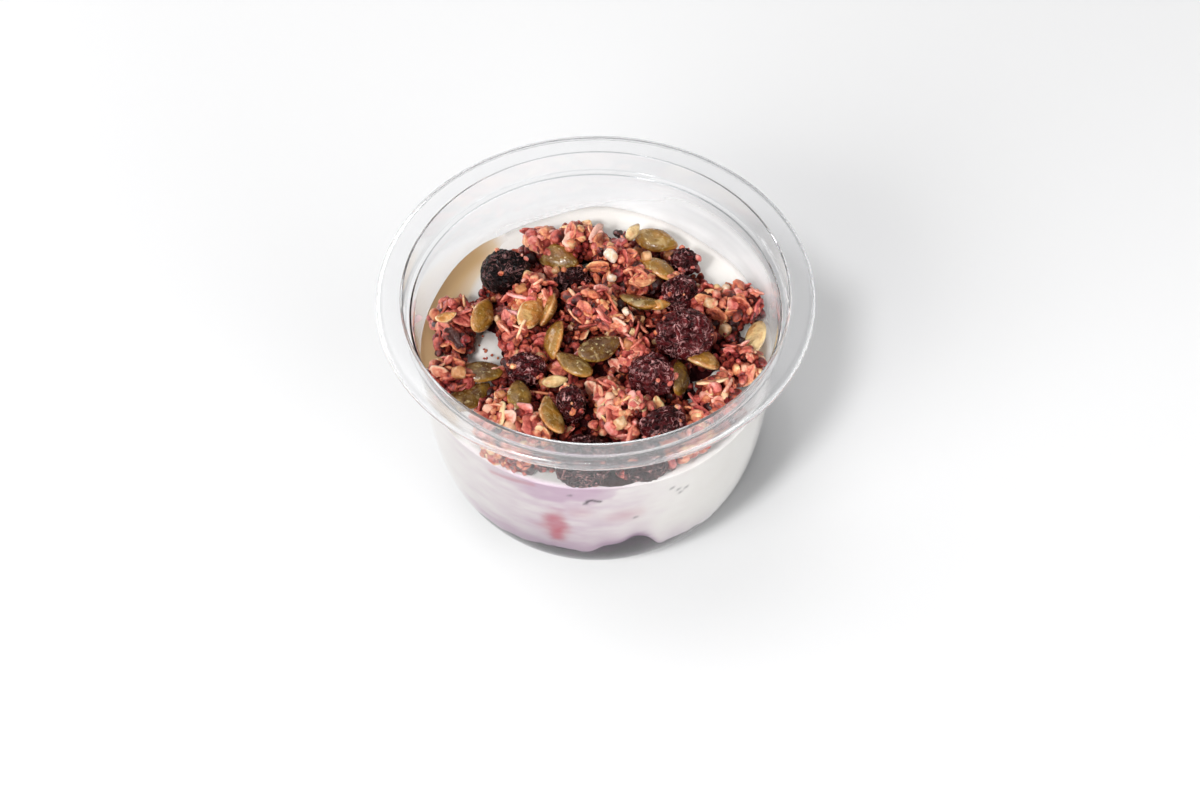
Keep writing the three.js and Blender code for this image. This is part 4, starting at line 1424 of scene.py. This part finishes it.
# Dried berries
def berry_mesh(number, x, y, z, hx, hy, hz, turn, tone):
    """A shrivelled berry: dented by wide folds and creased by wrinkles, with painted highlights that make
    its ridges paler.
    """
    points, triangles = sphere(*BERRY_GRID)
    sizes = np.array([hx, hy, hz])
    folds = layered_noise(points * 1.3 + 13.7 * number, 100 + number, 3)
    wrinkles = 1 - np.abs(layered_noise(points * 4.2 + 7.1 * number, 140 + number, 2))
    creases = 0.5 - np.abs(lattice_noise(points * sizes / 1.1 + 3.1 * number, 180 + number))
    shape = 0.92 + 0.15 * folds + 0.15 * (wrinkles - 0.6) + 0.06 * creases
    points = (np.clip(shape, 0.62, 1.06)[:, None] * points * sizes) @ turn_z(turn).T + (x, y, z)
    # Painted highlights: the tone rises on the ridges
    return kept_inside(points), [triangles], {"tone": tone + 0.4 * (wrinkles - 0.7) + 0.35 * creases}


near_black = berry_black()
for number, berry in enumerate(BERRIES):
    node = f"dried_berry_{number + 1:02d}"
    skin, skin_faces, skin_marks = berry_mesh(number, *berry)
    belongs(new_piece("fruit_" + node, skin, skin_faces, near_black, skin_marks), node)

# Floor
corners = np.array([(-1, -1, 0), (1, -1, 0), (1, 1, 0), (-1, 1, 0)]) * FLOOR_HALF + (0, 0, FLOOR_Z)
new_piece("floor", corners, [np.array([[0, 1, 2, 3]])], floor_white())


# Light
def aimed_light(name, kind, azimuth, elevation, distance, power, aim):
    """A lamp that faces a place in the pot and isn't itself seen."""
    lamp = bpy.data.lights.new(name, kind)
    lamp.energy = power
    a, e = math.radians(azimuth), math.radians(elevation)
    place = Vector((math.cos(a) * math.cos(e), math.sin(a) * math.cos(e), math.sin(e))) * distance * MM
    light = bpy.data.objects.new(name, lamp)
    light.location = place + Vector(aim) * MM
    light.rotation_euler = (-place).to_track_quat("-Z", "Y").to_euler()
    light.visible_camera = False
    bpy.context.scene.collection.objects.link(light)
    return lamp


for name, (azimuth, elevation, distance, size, power) in PANELS.items():
    lamp = aimed_light(name, "AREA", azimuth, elevation, distance, power, PANEL_AIM)
    lamp.shape = "ELLIPSE"
    lamp.size, lamp.size_y = size[0] * MM, size[1] * MM
for name, (azimuth, elevation, power, aim, radius) in SNOOTS.items():
    lamp = aimed_light(name, "SPOT", azimuth, elevation, SNOOT_DISTANCE, power, aim)
    lamp.spot_size = 2 * math.atan(radius / SNOOT_DISTANCE)
    lamp.spot_blend = SNOOT_BLEND
    lamp.shadow_soft_size = SNOOT_SOFTNESS * MM

scene = bpy.context.scene
scene.world = bpy.data.worlds.new("studio")
sky = Graph(scene.world)
upward = sky.add("SeparateXYZ", "Z", Vector=sky.add("TexCoord", "Generated"))
sky_colour = sky.ramp(upward, [
    (0.0, (0.37, 0.37, 0.375)),
    (0.3, (0.21, 0.21, 0.215)),
    (0.75, (0.12, 0.12, 0.123)),
])
sky.set(sky.nodes["Background"], Color=sky_colour)

# Camera
camera_data = bpy.data.cameras.new("camera")
camera_data.lens = CAMERA_LENS
camera_data.sensor_width = CAMERA_SENSOR
camera_data.clip_start, camera_data.clip_end = CAMERA_CLIP[0] * MM, CAMERA_CLIP[1] * MM
camera = bpy.data.objects.new("camera", camera_data)
scene.collection.objects.link(camera)
elevation, roll = math.radians(CAMERA_ELEVATION), math.radians(CAMERA_ROLL)
ahead = Vector((0, math.cos(elevation), -math.sin(elevation)))
level_up = Vector((0, math.sin(elevation), math.cos(elevation)))
right = math.cos(roll) * Vector((1, 0, 0)) + math.sin(roll) * level_up
above = -math.sin(roll) * Vector((1, 0, 0)) + math.cos(roll) * level_up
place = (Vector(CAMERA_TARGET) - ahead * CAMERA_DISTANCE) * MM
facing_pot = Matrix((right, above, -ahead)).transposed().to_4x4()
camera.matrix_world = Matrix.Translation(place) @ facing_pot
scene.camera = camera
scene.view_settings.view_transform = "Standard"
scene.cycles.use_denoising = True
scene.cycles.max_bounces = 14
scene.cycles.transmission_bounces = 12
scene.cycles.glossy_bounces = 6
scene.cycles.diffuse_bounces = 5
scene.cycles.transparent_max_bounces = 16
scene.cycles.caustics_reflective = False
scene.cycles.caustics_refractive = False
